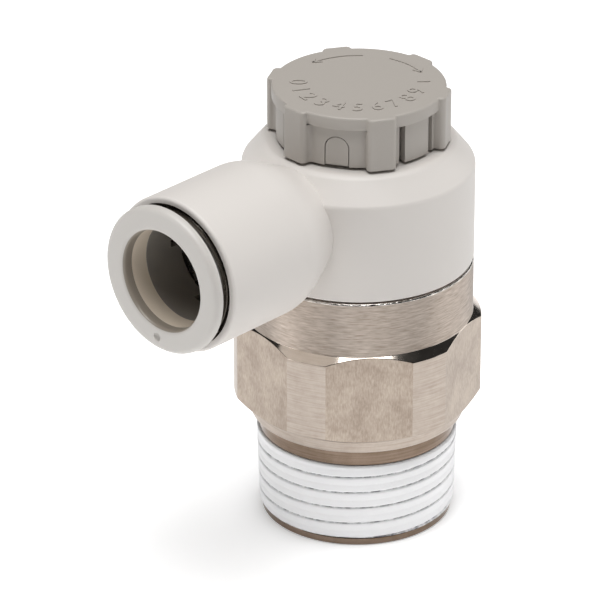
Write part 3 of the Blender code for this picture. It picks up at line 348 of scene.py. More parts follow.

# Thread sealant
# White fluoropolymer paste, brushed into the R1/2 thread and cured. It is thick on the crests, and
# sinks along the root of each turn, where a grey line is painted shade in the groove and partly the brass
# under the thin paste.
THREAD_PITCH = 0.001814
THREAD_ROWS = 170
ROOT_HEIGHT = 0.006361
ROOT_ANGLE = math.radians(223.1)
ROOT_DEPTH = 0.00022
ROOT_WIDTH = 0.00012
CROWN = 0.00006
END_DROP = 0.00018
END_LENGTH = 0.0003
THIN_END = 0.0002
COATING_STEPS = 288
SEALANT_WHITE = "FDFDFE"
SEALANT_ROOT_SHADE = "66656A"


def root_distance(point):
    """How far a point of the coating lies above or below the nearest thread root."""
    turn = (math.atan2(point.y, point.x) - ROOT_ANGLE) / (2 * math.pi)
    turns = (point.z - ROOT_HEIGHT) / THREAD_PITCH - turn
    return abs(turns - round(turns)) * THREAD_PITCH


low, high = (corner.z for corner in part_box("thread_sealant"))
inside = COATING - 0.00005
coat = turned(
    [
        (crest(low) - inside, low, 0),
        (crest(low), low, 0),
        (crest(high), high, 0),
        (crest(high) - inside, high, 0),
    ],
    steps=COATING_STEPS,
    rows=THREAD_ROWS,
)
root_shade_layer = coat.verts.layers.float.new("root")
for vert in coat.verts:
    radius = math.hypot(vert.co.x, vert.co.y)
    if radius < crest(vert.co.z) - COATING / 2:
        continue
    away = root_distance(vert.co)
    sink = math.exp(-((away / ROOT_WIDTH) ** 2))
    crown = (away / (THREAD_PITCH / 2)) ** 2
    end = min(vert.co.z - low, high - vert.co.z)
    drop = END_DROP * max(0.0, 1 - end / END_LENGTH) ** 2
    reach = radius - ROOT_DEPTH * sink - CROWN * crown - drop
    vert.co.x *= reach / radius
    vert.co.y *= reach / radius
    # The root weight paints grey shade along each root, and the same grey fades in towards the coating's
    # lower edge.
    thin = math.exp(-(((vert.co.z - low) / THIN_END) ** 2))
    vert[root_shade_layer] = max(thin, math.exp(-((away / (ROOT_WIDTH * 0.6)) ** 2)))

# Brushed and cured paste: even white, half matt and softly uneven, with broken grey lines at the roots,
# which are painted shade in the grooves and partly the brass under the thin paste.
sealant, tree, shader, place = new_finish("cured_sealant")
smear = add(tree, "ShaderNodeTexNoise", {"Vector": place, "Scale": 1400.0, "Detail": 4.0, "Roughness": 0.6})
breaks = add(
    tree,
    "ShaderNodeMapRange",
    {"Value": smear.outputs["Fac"], "From Min": 0.38, "From Max": 0.62, "To Min": 0.1, "To Max": 1.0},
)
root = add(tree, "ShaderNodeAttribute", attribute_name="root", attribute_type="GEOMETRY")
dark = add(
    tree, "ShaderNodeMath", {0: root.outputs["Fac"], 1: breaks.outputs["Result"]}, operation="MULTIPLY"
)
colour = add(
    tree,
    "ShaderNodeMix",
    {0: dark.outputs[0], 6: linear(SEALANT_WHITE), 7: linear(SEALANT_ROOT_SHADE)},
    data_type="RGBA",
)
relief = add(tree, "ShaderNodeBump", {"Height": smear.outputs["Fac"], "Strength": 0.6, "Distance": 0.00005})
tree.links.new(colour.outputs[2], shader.inputs["Base Color"])
tree.links.new(relief.outputs["Normal"], shader.inputs["Normal"])
shader.inputs["Roughness"].default_value = 0.5
shader.inputs["IOR"].default_value = 1.38
fitted("thread_coating", coat, [sealant], "thread_sealant")

# Retaining clip
# Split ring of stainless strip that sits half in the collar and half in the elbow. It keeps the
# elbow in the body and lets it swivel.
CLIP_INNER = 0.00915
CLIP_OUTER = 0.0102
CLIP_LOW = 0.0242
CLIP_HIGH = 0.0250
CLIP_TURN = math.radians(340)
CLIP_SLICE = 0.0001
STAINLESS = "ABA8A3"


def rolled_steel(name, tint):
    """Rolled stainless strip: it shines, a little duller in patches of about a millimetre."""
    material, tree, shader, place = new_finish(name)
    patches = add(
        tree, "ShaderNodeTexNoise", {"Vector": place, "Scale": 1200.0, "Detail": 2.0}
    ).outputs["Fac"]
    dullness = add(
        tree, "ShaderNodeMapRange", {"Value": patches, "To Min": 0.18, "To Max": 0.34}
    ).outputs["Result"]
    tree.links.new(dullness, shader.inputs["Roughness"])
    shader.inputs["Base Color"].default_value = linear(tint)
    shader.inputs["Metallic"].default_value = 1.0
    return material


clip = bmesh.new()
bmesh.ops.create_cube(clip, size=1)
bmesh.ops.scale(
    clip, vec=(CLIP_OUTER - CLIP_INNER, CLIP_SLICE, CLIP_HIGH - CLIP_LOW), verts=clip.verts,
)
bmesh.ops.translate(
    clip, vec=((CLIP_OUTER + CLIP_INNER) / 2, CLIP_SLICE / 2, (CLIP_HIGH + CLIP_LOW) / 2), verts=clip.verts,
)
ends = [face for face in clip.faces if face.normal.y > 0.5]
bmesh.ops.spin(clip, geom=ends, cent=(0, 0, 0), axis=(0, 0, 1), angle=CLIP_TURN, steps=160)
bmesh.ops.delete(clip, geom=ends, context="FACES_ONLY")
bmesh.ops.recalc_face_normals(clip, faces=clip.faces)
stainless = rolled_steel("stainless_rolled", STAINLESS)
fitted("clip_ring", clip, [stainless], "retaining_clip", edge=0.00008)

# Elbow
# Moulded in light grey polyester: a spigot that swivels in the collar, the round body over it with
# a sloping shoulder and a boss for the knob, and the tube barrel that runs into its side.
SPIGOT_RADIUS = 0.00975
SPIGOT_LOW = 0.0235
CLIP_GROOVE_RADIUS = 0.00905
CLIP_GROOVE_LOW = 0.0241
CLIP_GROOVE_HIGH = 0.0251
RING_GROOVE_RADIUS = 0.00885
RING_GROOVE_LOW = 0.0262
RING_GROOVE_HIGH = 0.0274
ELBOW_RADIUS = 0.0119
ELBOW_LOW = 0.0290
SHOULDER_LOW = 0.03943
SHOULDER_RADIUS = 0.0098
PLATEAU = 0.0420
BOSS_RADIUS = 0.0055
BOSS_TOP = 0.0452
CATCH_RADIUS = 0.0050
CATCH_LOW = 0.0429
CATCH_HIGH = 0.0438
CHAMBER_TOP = 0.0390
CHAMBER_LOW = 0.02975
CHAMBER_RADIUS = 0.0069
GUIDE_HOLE = 0.0042
BARREL_RADIUS = 0.0081
BARREL_NECK = 0.0073
BARREL_ROOT = 0.0058
BARREL_FRONT = 0.0267
BARREL_BACK = 0.01267
BARREL_INSIDE = 0.0080
BARREL_HEIGHT = 0.0359
MOUTH_RADIUS = 0.00745
MOUTH_DEPTH = 0.01875
TUBE_SEAL_BORE = 0.00645
TUBE_SEAL_STEP = 0.0150
TUBE_BORE = 0.00505
TUBE_STOP = 0.0112
PASSAGE_RADIUS = 0.0033
PASSAGE_INSIDE = 0.0055
POLYESTER = "D7D2CD"
GRAIN = 0.00012


def moulded(name, tint, grain=GRAIN, dullness=0.5):
    """Plastic moulded in a spark-eroded tool: one even colour with a soft sheen.

    The real grain is finer than the tenth of a millimetre drawn here, and only breaks up the gloss.
    """
    material, tree, shader, place = new_finish(name)
    grains = add(
        tree, "ShaderNodeTexNoise", {"Vector": place, "Scale": 1 / grain, "Detail": 2.0}
    ).outputs["Fac"]
    relief = add(tree, "ShaderNodeBump", {"Height": grains, "Strength": 0.4, "Distance": grain / 10})
    tree.links.new(relief.outputs["Normal"], shader.inputs["Normal"])
    shader.inputs["Base Color"].default_value = linear(tint)
    shader.inputs["Roughness"].default_value = dullness
    shader.inputs["IOR"].default_value = 1.5
    return material


upright = turned(
    [
        (SEAL_BORE, SPIGOT_LOW, 0),
        (SPIGOT_RADIUS, SPIGOT_LOW, 0.0002),
        (SPIGOT_RADIUS, CLIP_GROOVE_LOW, 0),
        (CLIP_GROOVE_RADIUS, CLIP_GROOVE_LOW, 0),
        (CLIP_GROOVE_RADIUS, CLIP_GROOVE_HIGH, 0),
        (SPIGOT_RADIUS, CLIP_GROOVE_HIGH, 0),
        (SPIGOT_RADIUS, RING_GROOVE_LOW, 0),
        (RING_GROOVE_RADIUS, RING_GROOVE_LOW, 0),
        (RING_GROOVE_RADIUS, RING_GROOVE_HIGH, 0),
        (SPIGOT_RADIUS, RING_GROOVE_HIGH, 0),
        (SPIGOT_RADIUS, ELBOW_LOW, 0),
        (ELBOW_RADIUS, ELBOW_LOW, 0.0002),
        (ELBOW_RADIUS, SHOULDER_LOW, 0.00025),
        (SHOULDER_RADIUS, PLATEAU, 0.0005),
        (BOSS_RADIUS, PLATEAU, 0),
        (BOSS_RADIUS, CATCH_LOW, 0),
        (CATCH_RADIUS, CATCH_LOW, 0),
        (CATCH_RADIUS, CATCH_HIGH, 0),
        (BOSS_RADIUS, CATCH_HIGH, 0),
        (BOSS_RADIUS, BOSS_TOP, 0.0002),
        (GUIDE_HOLE, BOSS_TOP, 0),
        (GUIDE_HOLE, CHAMBER_TOP, 0),
        (CHAMBER_RADIUS, CHAMBER_TOP, 0.0003),
        (CHAMBER_RADIUS, CHAMBER_LOW, 0),
        (SEAL_BORE, CHAMBER_LOW, 0),
    ]
)
barrel = turned(
    [
        (0, -BARREL_FRONT, 0),
        (BARREL_RADIUS, -BARREL_FRONT, 0.00035),
        (BARREL_RADIUS, -BARREL_BACK - 0.0020, 0.0012),
        (BARREL_NECK, -BARREL_BACK - 0.0003, 0.0002),
        (BARREL_ROOT + 0.0006, -0.0112, 0.0004),
        (BARREL_ROOT, -0.0098, 0.0003),
        (BARREL_ROOT, -BARREL_INSIDE, 0),
        (0, -BARREL_INSIDE, 0),
    ],
    along="X",
)
socket = turned(
    [
        (0, -PASSAGE_INSIDE, 0),
        (PASSAGE_RADIUS, -PASSAGE_INSIDE, 0),
        (PASSAGE_RADIUS, -TUBE_STOP, 0),
        (TUBE_BORE, -TUBE_STOP, 0),
        (TUBE_BORE, -TUBE_SEAL_STEP, 0),
        (TUBE_SEAL_BORE, -TUBE_SEAL_STEP, 0),
        (TUBE_SEAL_BORE, -MOUTH_DEPTH, 0),
        (MOUTH_RADIUS, -MOUTH_DEPTH, 0),
        (MOUTH_RADIUS, -BARREL_FRONT - 0.0005, 0),
        (0, -BARREL_FRONT - 0.0005, 0),
    ],
    along="X",
)
for bm in (barrel, socket):
    bmesh.ops.translate(bm, vec=(0, 0, BARREL_HEIGHT), verts=bm.verts)
elbow = machined(upright, ("UNION", barrel), ("DIFFERENCE", socket))
# Moulded polyester scatters the light softly, a pale warm grey with a wide dull sheen.
polyester = moulded("polyester_moulded", POLYESTER)
fitted("elbow_moulding", elbow, [polyester], "elbow_body")

# O-rings
# Black nitrile cord rings that seal the spigot in the collar, the needle's guide in the elbow, and
# the needle in its guide.
RING_SEGMENTS = 24
NITRILE = "1E1E1F"


def cord_ring(inner, height, cord):
    """A ring of round cord about the valve's axis."""
    bm = bmesh.new()
    bmesh.ops.create_circle(bm, segments=RING_SEGMENTS, radius=cord / 2)
    bmesh.ops.rotate(bm, cent=(0, 0, 0), matrix=Matrix.Rotation(math.pi / 2, 3, "X"), verts=bm.verts)
    bmesh.ops.translate(bm, vec=(inner + cord / 2, 0, height), verts=bm.verts)
    bmesh.ops.spin(
        bm, geom=bm.verts[:] + bm.edges[:], cent=(0, 0, 0), axis=(0, 0, 1),
        angle=2 * math.pi, steps=LATHE_STEPS, use_merge=True,
    )
    bmesh.ops.remove_doubles(bm, verts=bm.verts, dist=1e-7)
    bmesh.ops.recalc_face_normals(bm, faces=bm.faces)
    return bm


def moulded_rubber(name):
    """Pressed nitrile rubber: near black and matt, with a faint bloom in patches under a millimetre."""
    material, tree, shader, place = new_finish(name)
    bloom = add(
        tree, "ShaderNodeTexNoise", {"Vector": place, "Scale": 2500.0, "Detail": 3.0}
    ).outputs["Fac"]
    dullness = add(
        tree, "ShaderNodeMapRange", {"Value": bloom, "To Min": 0.5, "To Max": 0.75}
    ).outputs["Result"]
    relief = add(tree, "ShaderNodeBump", {"Height": bloom, "Strength": 0.3, "Distance": 0.00001})
    tree.links.new(dullness, shader.inputs["Roughness"])
    tree.links.new(relief.outputs["Normal"], shader.inputs["Normal"])
    shader.inputs["Base Color"].default_value = linear(NITRILE)
    shader.inputs["IOR"].default_value = 1.52
    return material


rubber = moulded_rubber("nitrile_rubber")
for name, node, inner, height, cord in (
    ("spigot_seal", "body_o_ring", 0.0089, 0.0268, 0.00085),
    ("guide_seal", "guide_o_ring", 0.0035, 0.0404, 0.0006),
    ("needle_seal", "needle_o_ring", 0.0018, 0.0329, 0.0006),
):
    fitted(name, cord_ring(inner, height, cord), [rubber], node)

# Orifice sleeve
# Turned brass sleeve whose foot is the needle's seat. Its drilled flange centres it in the elbow
# and lets the air past.
SLEEVE_OUTER = 0.00465
SLEEVE_INNER = 0.00355
SLEEVE_LOW = 0.0213
SLEEVE_TOP = 0.0307
SLEEVE_STEPS = 128
FOOT_RADIUS = 0.00625
FOOT_TOP = 0.0221
ORIFICE = 0.0023
SEAT_TOP = 0.0223
FLANGE = SEAL_BORE - 0.00005
FLANGE_LOW = 0.0285
FLANGE_TOP = 0.0297
HOLES = 6
HOLE_RADIUS = 0.001
DRILL_LENGTH = 0.003
wall = turned(
    [
        (ORIFICE, SLEEVE_LOW, SMALL_EDGE),
        (FOOT_RADIUS, SLEEVE_LOW, SMALL_EDGE),
        (FOOT_RADIUS, FOOT_TOP, SMALL_EDGE),
        (SLEEVE_OUTER, FOOT_TOP, 0),
        (SLEEVE_OUTER, FLANGE_LOW, 0),
        (FLANGE, FLANGE_LOW, SMALL_EDGE),
        (FLANGE, FLANGE_TOP, SMALL_EDGE),
        (SLEEVE_OUTER, FLANGE_TOP, 0),
        (SLEEVE_OUTER, SLEEVE_TOP, SMALL_EDGE),
        (SLEEVE_INNER, SLEEVE_TOP, SMALL_EDGE),
        (SLEEVE_INNER, SEAT_TOP + SLEEVE_INNER - ORIFICE, 0),
        (ORIFICE, SEAT_TOP, 0),
    ],
    steps=SLEEVE_STEPS,
)
drills = []
for index in range(HOLES):
    drill = bmesh.new()
    bmesh.ops.create_cone(
        drill, cap_ends=True, segments=32, radius1=HOLE_RADIUS, radius2=HOLE_RADIUS, depth=DRILL_LENGTH,
    )
    bearing = 2 * math.pi * index / HOLES
    middle = (SLEEVE_OUTER + SEAL_BORE) / 2
    centre = (middle * math.cos(bearing), middle * math.sin(bearing), (FLANGE_LOW + FLANGE_TOP) / 2)
    bmesh.ops.translate(drill, vec=centre, verts=drill.verts)
    drills.append(("DIFFERENCE", drill))
# Bare turned brass is warm yellow, with the same level lathe lines as the plated collar.
bare_brass = nickel_plate(
    "brass_turned", marks=(0.03, 0.03, 0.00011), depth=0.000004, tints=("D9BC7C", "B8965A"),
)
fitted("seat_sleeve", machined(wall, *drills), [bare_brass], "orifice_sleeve")

# Check packing
# Nitrile lip ring round the sleeve. Air from the port folds its lip down and passes, and air to the
# port presses it against the bore. A plastic spacer holds it under the flange.
PACKING_BORE = 0.0047
PACKING_WALL = 0.0053
PACKING_LOW = 0.02215
PACKING_TOP = 0.02515
LIP_RADIUS = 0.00755
SPACER_LOW = 0.0252
SPACER_TOP = 0.02845
lip_ring = turned(
    [
        (PACKING_BORE, PACKING_LOW, SMALL_EDGE),
        (PACKING_WALL, PACKING_LOW, SMALL_EDGE),
        (PACKING_WALL, 0.02365, 0.0002),
        (LIP_RADIUS - 0.0006, PACKING_LOW, 0),
        (LIP_RADIUS, PACKING_LOW, SMALL_EDGE),
        (LIP_RADIUS, PACKING_LOW + 0.0006, SMALL_EDGE),
        (0.0061, PACKING_TOP, 0.0002),
        (PACKING_BORE, PACKING_TOP, SMALL_EDGE),
    ],
    steps=SLEEVE_STEPS,
)
fitted("check_packing", lip_ring, [rubber], "check_seal")
spacer = turned(
    [
        (PACKING_BORE, SPACER_LOW, SMALL_EDGE),
        (PACKING_WALL, SPACER_LOW, SMALL_EDGE),
        (PACKING_WALL, SPACER_TOP, SMALL_EDGE),
        (PACKING_BORE, SPACER_TOP, SMALL_EDGE),
    ],
    steps=SLEEVE_STEPS,
)
fitted("packing_spacer", spacer, [polyester], "check_seal_spacer")

# Needle guide and needle
# Turned brass. The guide is a flanged bush in the elbow's boss, threaded inside, and the needle
# screws in it and closes the orifice with its tapered tip. Its head has a hexagon socket.
BUSH_BORE = 0.0025
BUSH_RADIUS = 0.0036
BUSH_LOW = 0.0317
BUSH_FLANGE = 0.0052
BUSH_FLANGE_LOW = 0.03815
BUSH_FLANGE_TOP = 0.03895
BUSH_HEAD = 0.00415
BUSH_GROOVE = 0.00345
BUSH_GROOVE_LOW = 0.0399
BUSH_GROOVE_TOP = 0.0409
NEEDLE_TIP = 0.01975
NEEDLE_TIP_RADIUS = 0.0008
NEEDLE_TAPER_TOP = 0.02235
NEEDLE_RADIUS = 0.00225
NEEDLE_SHOULDER = 0.0319
NEEDLE_HEAD = 0.00245
NEEDLE_TOP = 0.0415
NEEDLE_GROOVE = 0.00175
NEEDLE_GROOVE_LOW = 0.0324
NEEDLE_GROOVE_TOP = 0.0334
SOCKET_ACROSS_FLATS = 0.0024
SOCKET_LOW = 0.03455
KNOB_TURN = math.radians(-2.8)
bush = turned(
    [
        (BUSH_BORE, BUSH_LOW, SMALL_EDGE),
        (BUSH_RADIUS, BUSH_LOW, SMALL_EDGE),
        (BUSH_RADIUS, BUSH_FLANGE_LOW, 0),
        (BUSH_FLANGE, BUSH_FLANGE_LOW, SMALL_EDGE),
        (BUSH_FLANGE, BUSH_FLANGE_TOP, SMALL_EDGE),
        (BUSH_HEAD, BUSH_FLANGE_TOP, 0),
        (BUSH_HEAD, BUSH_GROOVE_LOW, 0),
        (BUSH_GROOVE, BUSH_GROOVE_LOW, 0),
        (BUSH_GROOVE, BUSH_GROOVE_TOP, 0),
        (BUSH_HEAD, BUSH_GROOVE_TOP, 0),
        (BUSH_HEAD, BOSS_TOP, SMALL_EDGE),
        (BUSH_BORE, BOSS_TOP, SMALL_EDGE),
    ],
    steps=SLEEVE_STEPS,
)
fitted("guide_bush", bush, [bare_brass], "needle_guide")
stem = turned(
    [
        (0, NEEDLE_TIP, 0),
        (NEEDLE_TIP_RADIUS, NEEDLE_TIP, 0.0002),
        (NEEDLE_RADIUS, NEEDLE_TAPER_TOP, 0),
        (NEEDLE_RADIUS, NEEDLE_SHOULDER, 0),
        (NEEDLE_HEAD, NEEDLE_SHOULDER + 0.0002, 0),
        (NEEDLE_HEAD, NEEDLE_GROOVE_LOW, 0),
        (NEEDLE_GROOVE, NEEDLE_GROOVE_LOW, 0),
        (NEEDLE_GROOVE, NEEDLE_GROOVE_TOP, 0),
        (NEEDLE_HEAD, NEEDLE_GROOVE_TOP, 0),
        (NEEDLE_HEAD, NEEDLE_TOP, 0.00015),
        (0, NEEDLE_TOP, 0),
    ],
    steps=SLEEVE_STEPS,
)
broach = hexagon_bar(SOCKET_ACROSS_FLATS, SOCKET_LOW, NEEDLE_TOP + 0.001, KNOB_TURN)
stem = machined(stem, ("DIFFERENCE", broach))
fitted("metering_needle", stem, [bare_brass], "needle")

# Tube seal
# Nitrile lip seal that closes round the tube, and the moulded plastic ring that backs it. The chuck
# holds both in the step of the socket.
SEAL_BACK = 0.01505
SEAL_FRONT = 0.01735
SEAL_LIP = 0.0051
SEAL_OUTER = 0.0064
BACKING_BORE = 0.00515
BACKING_BACK = 0.0174
BACKING_FRONT = 0.0187
seal = turned(
    [
        (SEAL_LIP, -SEAL_BACK, SMALL_EDGE),
        (SEAL_LIP, -SEAL_FRONT, 0.0002),
        (SEAL_OUTER, -SEAL_FRONT, 0.0002),
        (SEAL_OUTER, -SEAL_BACK, SMALL_EDGE),
        (0.006075, -SEAL_BACK, SMALL_EDGE),
        (0.00575, -0.0162, 0.0002),
        (0.005425, -SEAL_BACK, SMALL_EDGE),
    ],
    steps=SLEEVE_STEPS,
    along="X",
)
backing = turned(
    [
        (BACKING_BORE, -BACKING_BACK, SMALL_EDGE),
        (BACKING_BORE, -BACKING_FRONT, SMALL_EDGE),
        (SEAL_OUTER, -BACKING_FRONT, SMALL_EDGE),
        (SEAL_OUTER, -BACKING_BACK, SMALL_EDGE),
    ],
    steps=SLEEVE_STEPS,
    along="X",
)
for bm in (seal, backing):
    bmesh.ops.translate(bm, vec=(0, 0, BARREL_HEIGHT), verts=bm.verts)
fitted("tube_lip_seal", seal, [rubber], "tube_seal")
fitted("backing_ring", backing, [polyester], "seal_backing_ring")

# Chuck
# Stainless strip pressed to a ring of eight teeth that lean in and bite on the tube. The tube guide
# holds its rim against the step of the barrel's mouth.
CHUCK_BACK = 0.0188
CHUCK_FRONT = 0.0204
CHUCK_SHEET = 0.0003
CHUCK_RADIUS = 0.00735
TOOTH_TIP = 0.0051
TOOTH_ROOT = 0.0069
TEETH = 8
TOOTH_SLIT = (0.0039, 0.0008, 0.0023)
TOOTH_SLIT_MIDDLE = (-0.01945, 0, 0.00515)


def slits(count, size, middle):
    """Slits to cut in a ring on the X axis, of this size, evenly spread from the one with this middle."""
    cuts = []
    for index in range(count):
        cut = bmesh.new()
        bmesh.ops.create_cube(cut, size=1)
        bmesh.ops.scale(cut, vec=size, verts=cut.verts)
        bmesh.ops.translate(cut, vec=middle, verts=cut.verts)
        spread = Matrix.Rotation(2 * math.pi * index / count, 3, "X")
        bmesh.ops.rotate(cut, cent=(0, 0, 0), matrix=spread, verts=cut.verts)
        cuts.append(("DIFFERENCE", cut))
    return cuts


rim = turned(
    [
        (CHUCK_RADIUS, -CHUCK_BACK, 0),
        (CHUCK_RADIUS, -CHUCK_FRONT, 0.0002),
        (TOOTH_ROOT, -CHUCK_FRONT, SMALL_EDGE),
        (TOOTH_TIP, -CHUCK_BACK - CHUCK_SHEET, 0),
        (TOOTH_TIP, -CHUCK_BACK, 0),
        (TOOTH_ROOT - CHUCK_SHEET / 2, -CHUCK_FRONT + CHUCK_SHEET, SMALL_EDGE),
        (CHUCK_RADIUS - CHUCK_SHEET, -CHUCK_FRONT + CHUCK_SHEET, SMALL_EDGE),
        (CHUCK_RADIUS - CHUCK_SHEET, -CHUCK_BACK, 0),
    ],
    steps=SLEEVE_STEPS,
    along="X",
)
chuck = machined(rim, *slits(TEETH, TOOTH_SLIT, TOOTH_SLIT_MIDDLE))
bmesh.ops.translate(chuck, vec=(0, 0, BARREL_HEIGHT), verts=chuck.verts)
fitted("toothed_chuck", chuck, [stainless], "tube_chuck")

# Tube guide
# Metal ring pressed into the barrel's mouth. Its lip keeps the button in, and it shows as a thin arc
# behind the button's flange.
GUIDE_OUTER = 0.0074
GUIDE_INNER = 0.00645
GUIDE_LIP = 0.0060
GUIDE_LIP_BACK = 0.022175
GUIDE_LIP_FRONT = 0.022975
GUIDE_LIP_SLOPE = 0.00045
GUIDE_BACK = 0.02045
GUIDE_FRONT = 0.0266
GUIDE_STEP = 0.0004
GUIDE_TINT_PAINTED_SHADE = "6B665F"
ring = turned(
    [
        (GUIDE_INNER, -GUIDE_BACK, 0),
        (GUIDE_INNER, -GUIDE_LIP_BACK, 0),
        (GUIDE_LIP, -GUIDE_LIP_BACK, 0),
        (GUIDE_LIP, -GUIDE_LIP_FRONT, SMALL_EDGE),
        (GUIDE_INNER, -GUIDE_LIP_FRONT - GUIDE_LIP_SLOPE, 0),
        (GUIDE_INNER, -GUIDE_FRONT, SMALL_EDGE),
        (GUIDE_OUTER - GUIDE_STEP, -GUIDE_FRONT, SMALL_EDGE),
        (GUIDE_OUTER - GUIDE_STEP, -GUIDE_FRONT + 0.0005, 0),
        (GUIDE_OUTER, -GUIDE_FRONT + 0.0009, 0),
        (GUIDE_OUTER, -GUIDE_BACK, SMALL_EDGE),
    ],
    along="X",
)
bmesh.ops.translate(ring, vec=(0, 0, BARREL_HEIGHT), verts=ring.verts)
# The ring's dark tint is painted shade of the narrow gap behind the button's flange.
dull_steel_painted_shade = rolled_steel("stainless_dull_painted_shade", GUIDE_TINT_PAINTED_SHADE)
fitted("guide_ring", ring, [dull_steel_painted_shade], "tube_guide")

# Collet sleeve
# Dark moulded sleeve with five slits, pressed into the button. Its nose opens the chuck, and its
# barb keeps the button in the guide.
BUTTON_FACE = 0.02877
BUTTON_BORE = 0.0052
SLEEVE_RADIUS = 0.0059
BARB_RADIUS = 0.00635
NOSE_RADIUS = 0.00555
NOSE_END = 0.020575
BARB_FRONT = NOSE_END + 0.0015
BARB_BACK = NOSE_END + 0.0007
COLLET_FRONT = 0.02547
COLLET_STEP = 0.02402
COLLET_SLITS = 5
COLLET_SLIT = (0.0021, 0.0049, 0.0008)
COLLET_SLIT_MIDDLE = (-0.02095, 0.005, 0)
COLLET_GREY = "918C86"
sleeve = turned(
    [
        (BUTTON_BORE, -NOSE_END, SMALL_EDGE),
        (BUTTON_BORE, -COLLET_FRONT, SMALL_EDGE),
        (NOSE_RADIUS, -COLLET_FRONT, 0),
        (NOSE_RADIUS, -COLLET_STEP, 0),
        (SLEEVE_RADIUS, -COLLET_STEP, 0),
        (SLEEVE_RADIUS, -BARB_FRONT, 0),
        (BARB_RADIUS, -BARB_FRONT, 0.00008),
        (BARB_RADIUS, -BARB_BACK, 0),
        (NOSE_RADIUS, -NOSE_END, 0),
    ],
    along="X",
)
sleeve = machined(sleeve, *slits(COLLET_SLITS, COLLET_SLIT, COLLET_SLIT_MIDDLE))
bmesh.ops.translate(sleeve, vec=(0, 0, BARREL_HEIGHT), verts=sleeve.verts)
# Dark moulded acetal, smoother than the elbow, so that the bore has a low gloss.
dark_acetal = moulded("polyacetal_dark", COLLET_GREY, dullness=0.35)
fitted("collet", sleeve, [dark_acetal], "release_collet")

# Release button
# Moulded ring that is pushed in to free the tube. Its flange stands off the barrel, and a small
# ejector dimple marks its face.
FLANGE_BACK = 0.02775
FLANGE_RADIUS = 0.00766
FLANGE_EDGE = 0.00055
PRESS_GAP = 0.00005
DIMPLE_RADIUS = 0.0005
DIMPLE_OUT = 0.00014
DIMPLE_RING = 0.0063
DIMPLE_ANGLE = math.radians(-85)
THIN_FROM = 0.02750
POLYACETAL = "C8C4BF"
THIN_WALL_PAINTED_GLOW = "E6D9C7"
MOUTH_PAINTED_SHADE = "968D82"
flange = turned(
    [
        (NOSE_RADIUS + PRESS_GAP, -COLLET_STEP - PRESS_GAP, 0),
        (NOSE_RADIUS + PRESS_GAP, -COLLET_FRONT, 0),
        (BUTTON_BORE, -COLLET_FRONT, 0),
        (BUTTON_BORE, -THIN_FROM, 0),
        (BUTTON_BORE, -BUTTON_FACE, 0.0005),
        (FLANGE_RADIUS, -BUTTON_FACE, FLANGE_EDGE),
        (FLANGE_RADIUS, -FLANGE_BACK, 0.00008),
        (SLEEVE_RADIUS, -FLANGE_BACK, 0),
        (SLEEVE_RADIUS, -COLLET_STEP - PRESS_GAP, 0),
    ],
    along="X",
)
dimple = bmesh.new()
bmesh.ops.create_uvsphere(dimple, u_segments=32, v_segments=16, radius=DIMPLE_RADIUS)
turn = Matrix.Rotation(DIMPLE_ANGLE - math.pi / 2, 3, "X")
bmesh.ops.translate(dimple, vec=(-BUTTON_FACE - DIMPLE_OUT, 0, DIMPLE_RING), verts=dimple.verts)
bmesh.ops.rotate(dimple, cent=(0, 0, 0), matrix=turn, verts=dimple.verts)
button = machined(flange, ("DIFFERENCE", dimple))
# Along the bore, the band at the mouth gets painted shade and the band behind the flange painted light.
for face in button.faces:
    middle = face.calc_center_median()
    if middle.yz.length < BUTTON_BORE + 0.0001:
        face.material_index = 1 if middle.x > -THIN_FROM else 2
bmesh.ops.translate(button, vec=(0, 0, BARREL_HEIGHT), verts=button.verts)
# Moulded acetal is waxy: a cool light grey, a little glossier than the elbow.
polyacetal = moulded("polyacetal_moulded", POLYACETAL, dullness=0.42)
# Behind the flange the wall is thin, and its warm, lighter tint is painted light that shines through it into
# the bore.
thin_wall_painted_glow = moulded("polyacetal_thin_painted_glow", THIN_WALL_PAINTED_GLOW, dullness=0.42)
# At its mouth the bore wall is a little shinier, and its darker tint is painted shade.
mouth_wall_painted_shade = moulded("polyacetal_mouth_painted_shade", MOUTH_PAINTED_SHADE, dullness=0.3)
fitted("push_ring", button, [polyacetal, thin_wall_painted_glow, mouth_wall_painted_shade], "release_button")

# Knob core
# Moulded ring that is snapped into the cap and drives the needle with its hexagon shank. Three of
# its tabs fill the arch windows of the cap.
CORE_RADIUS = 0.00735
CORE_BORE = 0.00635
CORE_LOW = 0.04245
WEB_LOW = 0.0456
WEB_TOP = 0.0464
ARCH_WIDTH = 0.00255
ARCH_TOP = 0.0456
CORE_GAP = 0.00009
KNOB_WALL_RADIUS = 0.0084
RIB_RADIUS = 0.00515
RIB_LOW = 0.0430
RIB_HIGH = 0.0437
SHANK_ACROSS_FLATS = 0.0021
SHANK_LOW = 0.0387
KNOB_GREY = "AAA49D"
WINDOWS = [KNOB_TURN + math.radians(60 * gap + 30) for gap in (1, 3, 5)]


def knob_bar(near, far, width, low, high, turn, arched=False):
    """A bar that runs outwards from the knob's axis, with a round top if it is arched."""
    bm = bmesh.new()
    bmesh.ops.create_cube(bm, size=1)
    bmesh.ops.scale(bm, vec=(far - near, width, high - low), verts=bm.verts)
    bmesh.ops.translate(bm, vec=((near + far) / 2, 0, (low + high) / 2), verts=bm.verts)
    if arched:
        level = [edge for edge in bm.edges if all(vert.co.z > low + 1e-6 for vert in edge.verts)]
        shoulders = [edge for edge in level if abs(edge.verts[0].co.y - edge.verts[1].co.y) < 1e-9]
        bmesh.ops.bevel(
            bm, geom=shoulders, offset=width / 2 - 1e-6, offset_type="OFFSET", affect="EDGES",
            segments=12, profile=0.5, material=-1,
        )
    bmesh.ops.rotate(bm, cent=(0, 0, 0), matrix=Matrix.Rotation(turn, 3, "Z"), verts=bm.verts)
    return bm


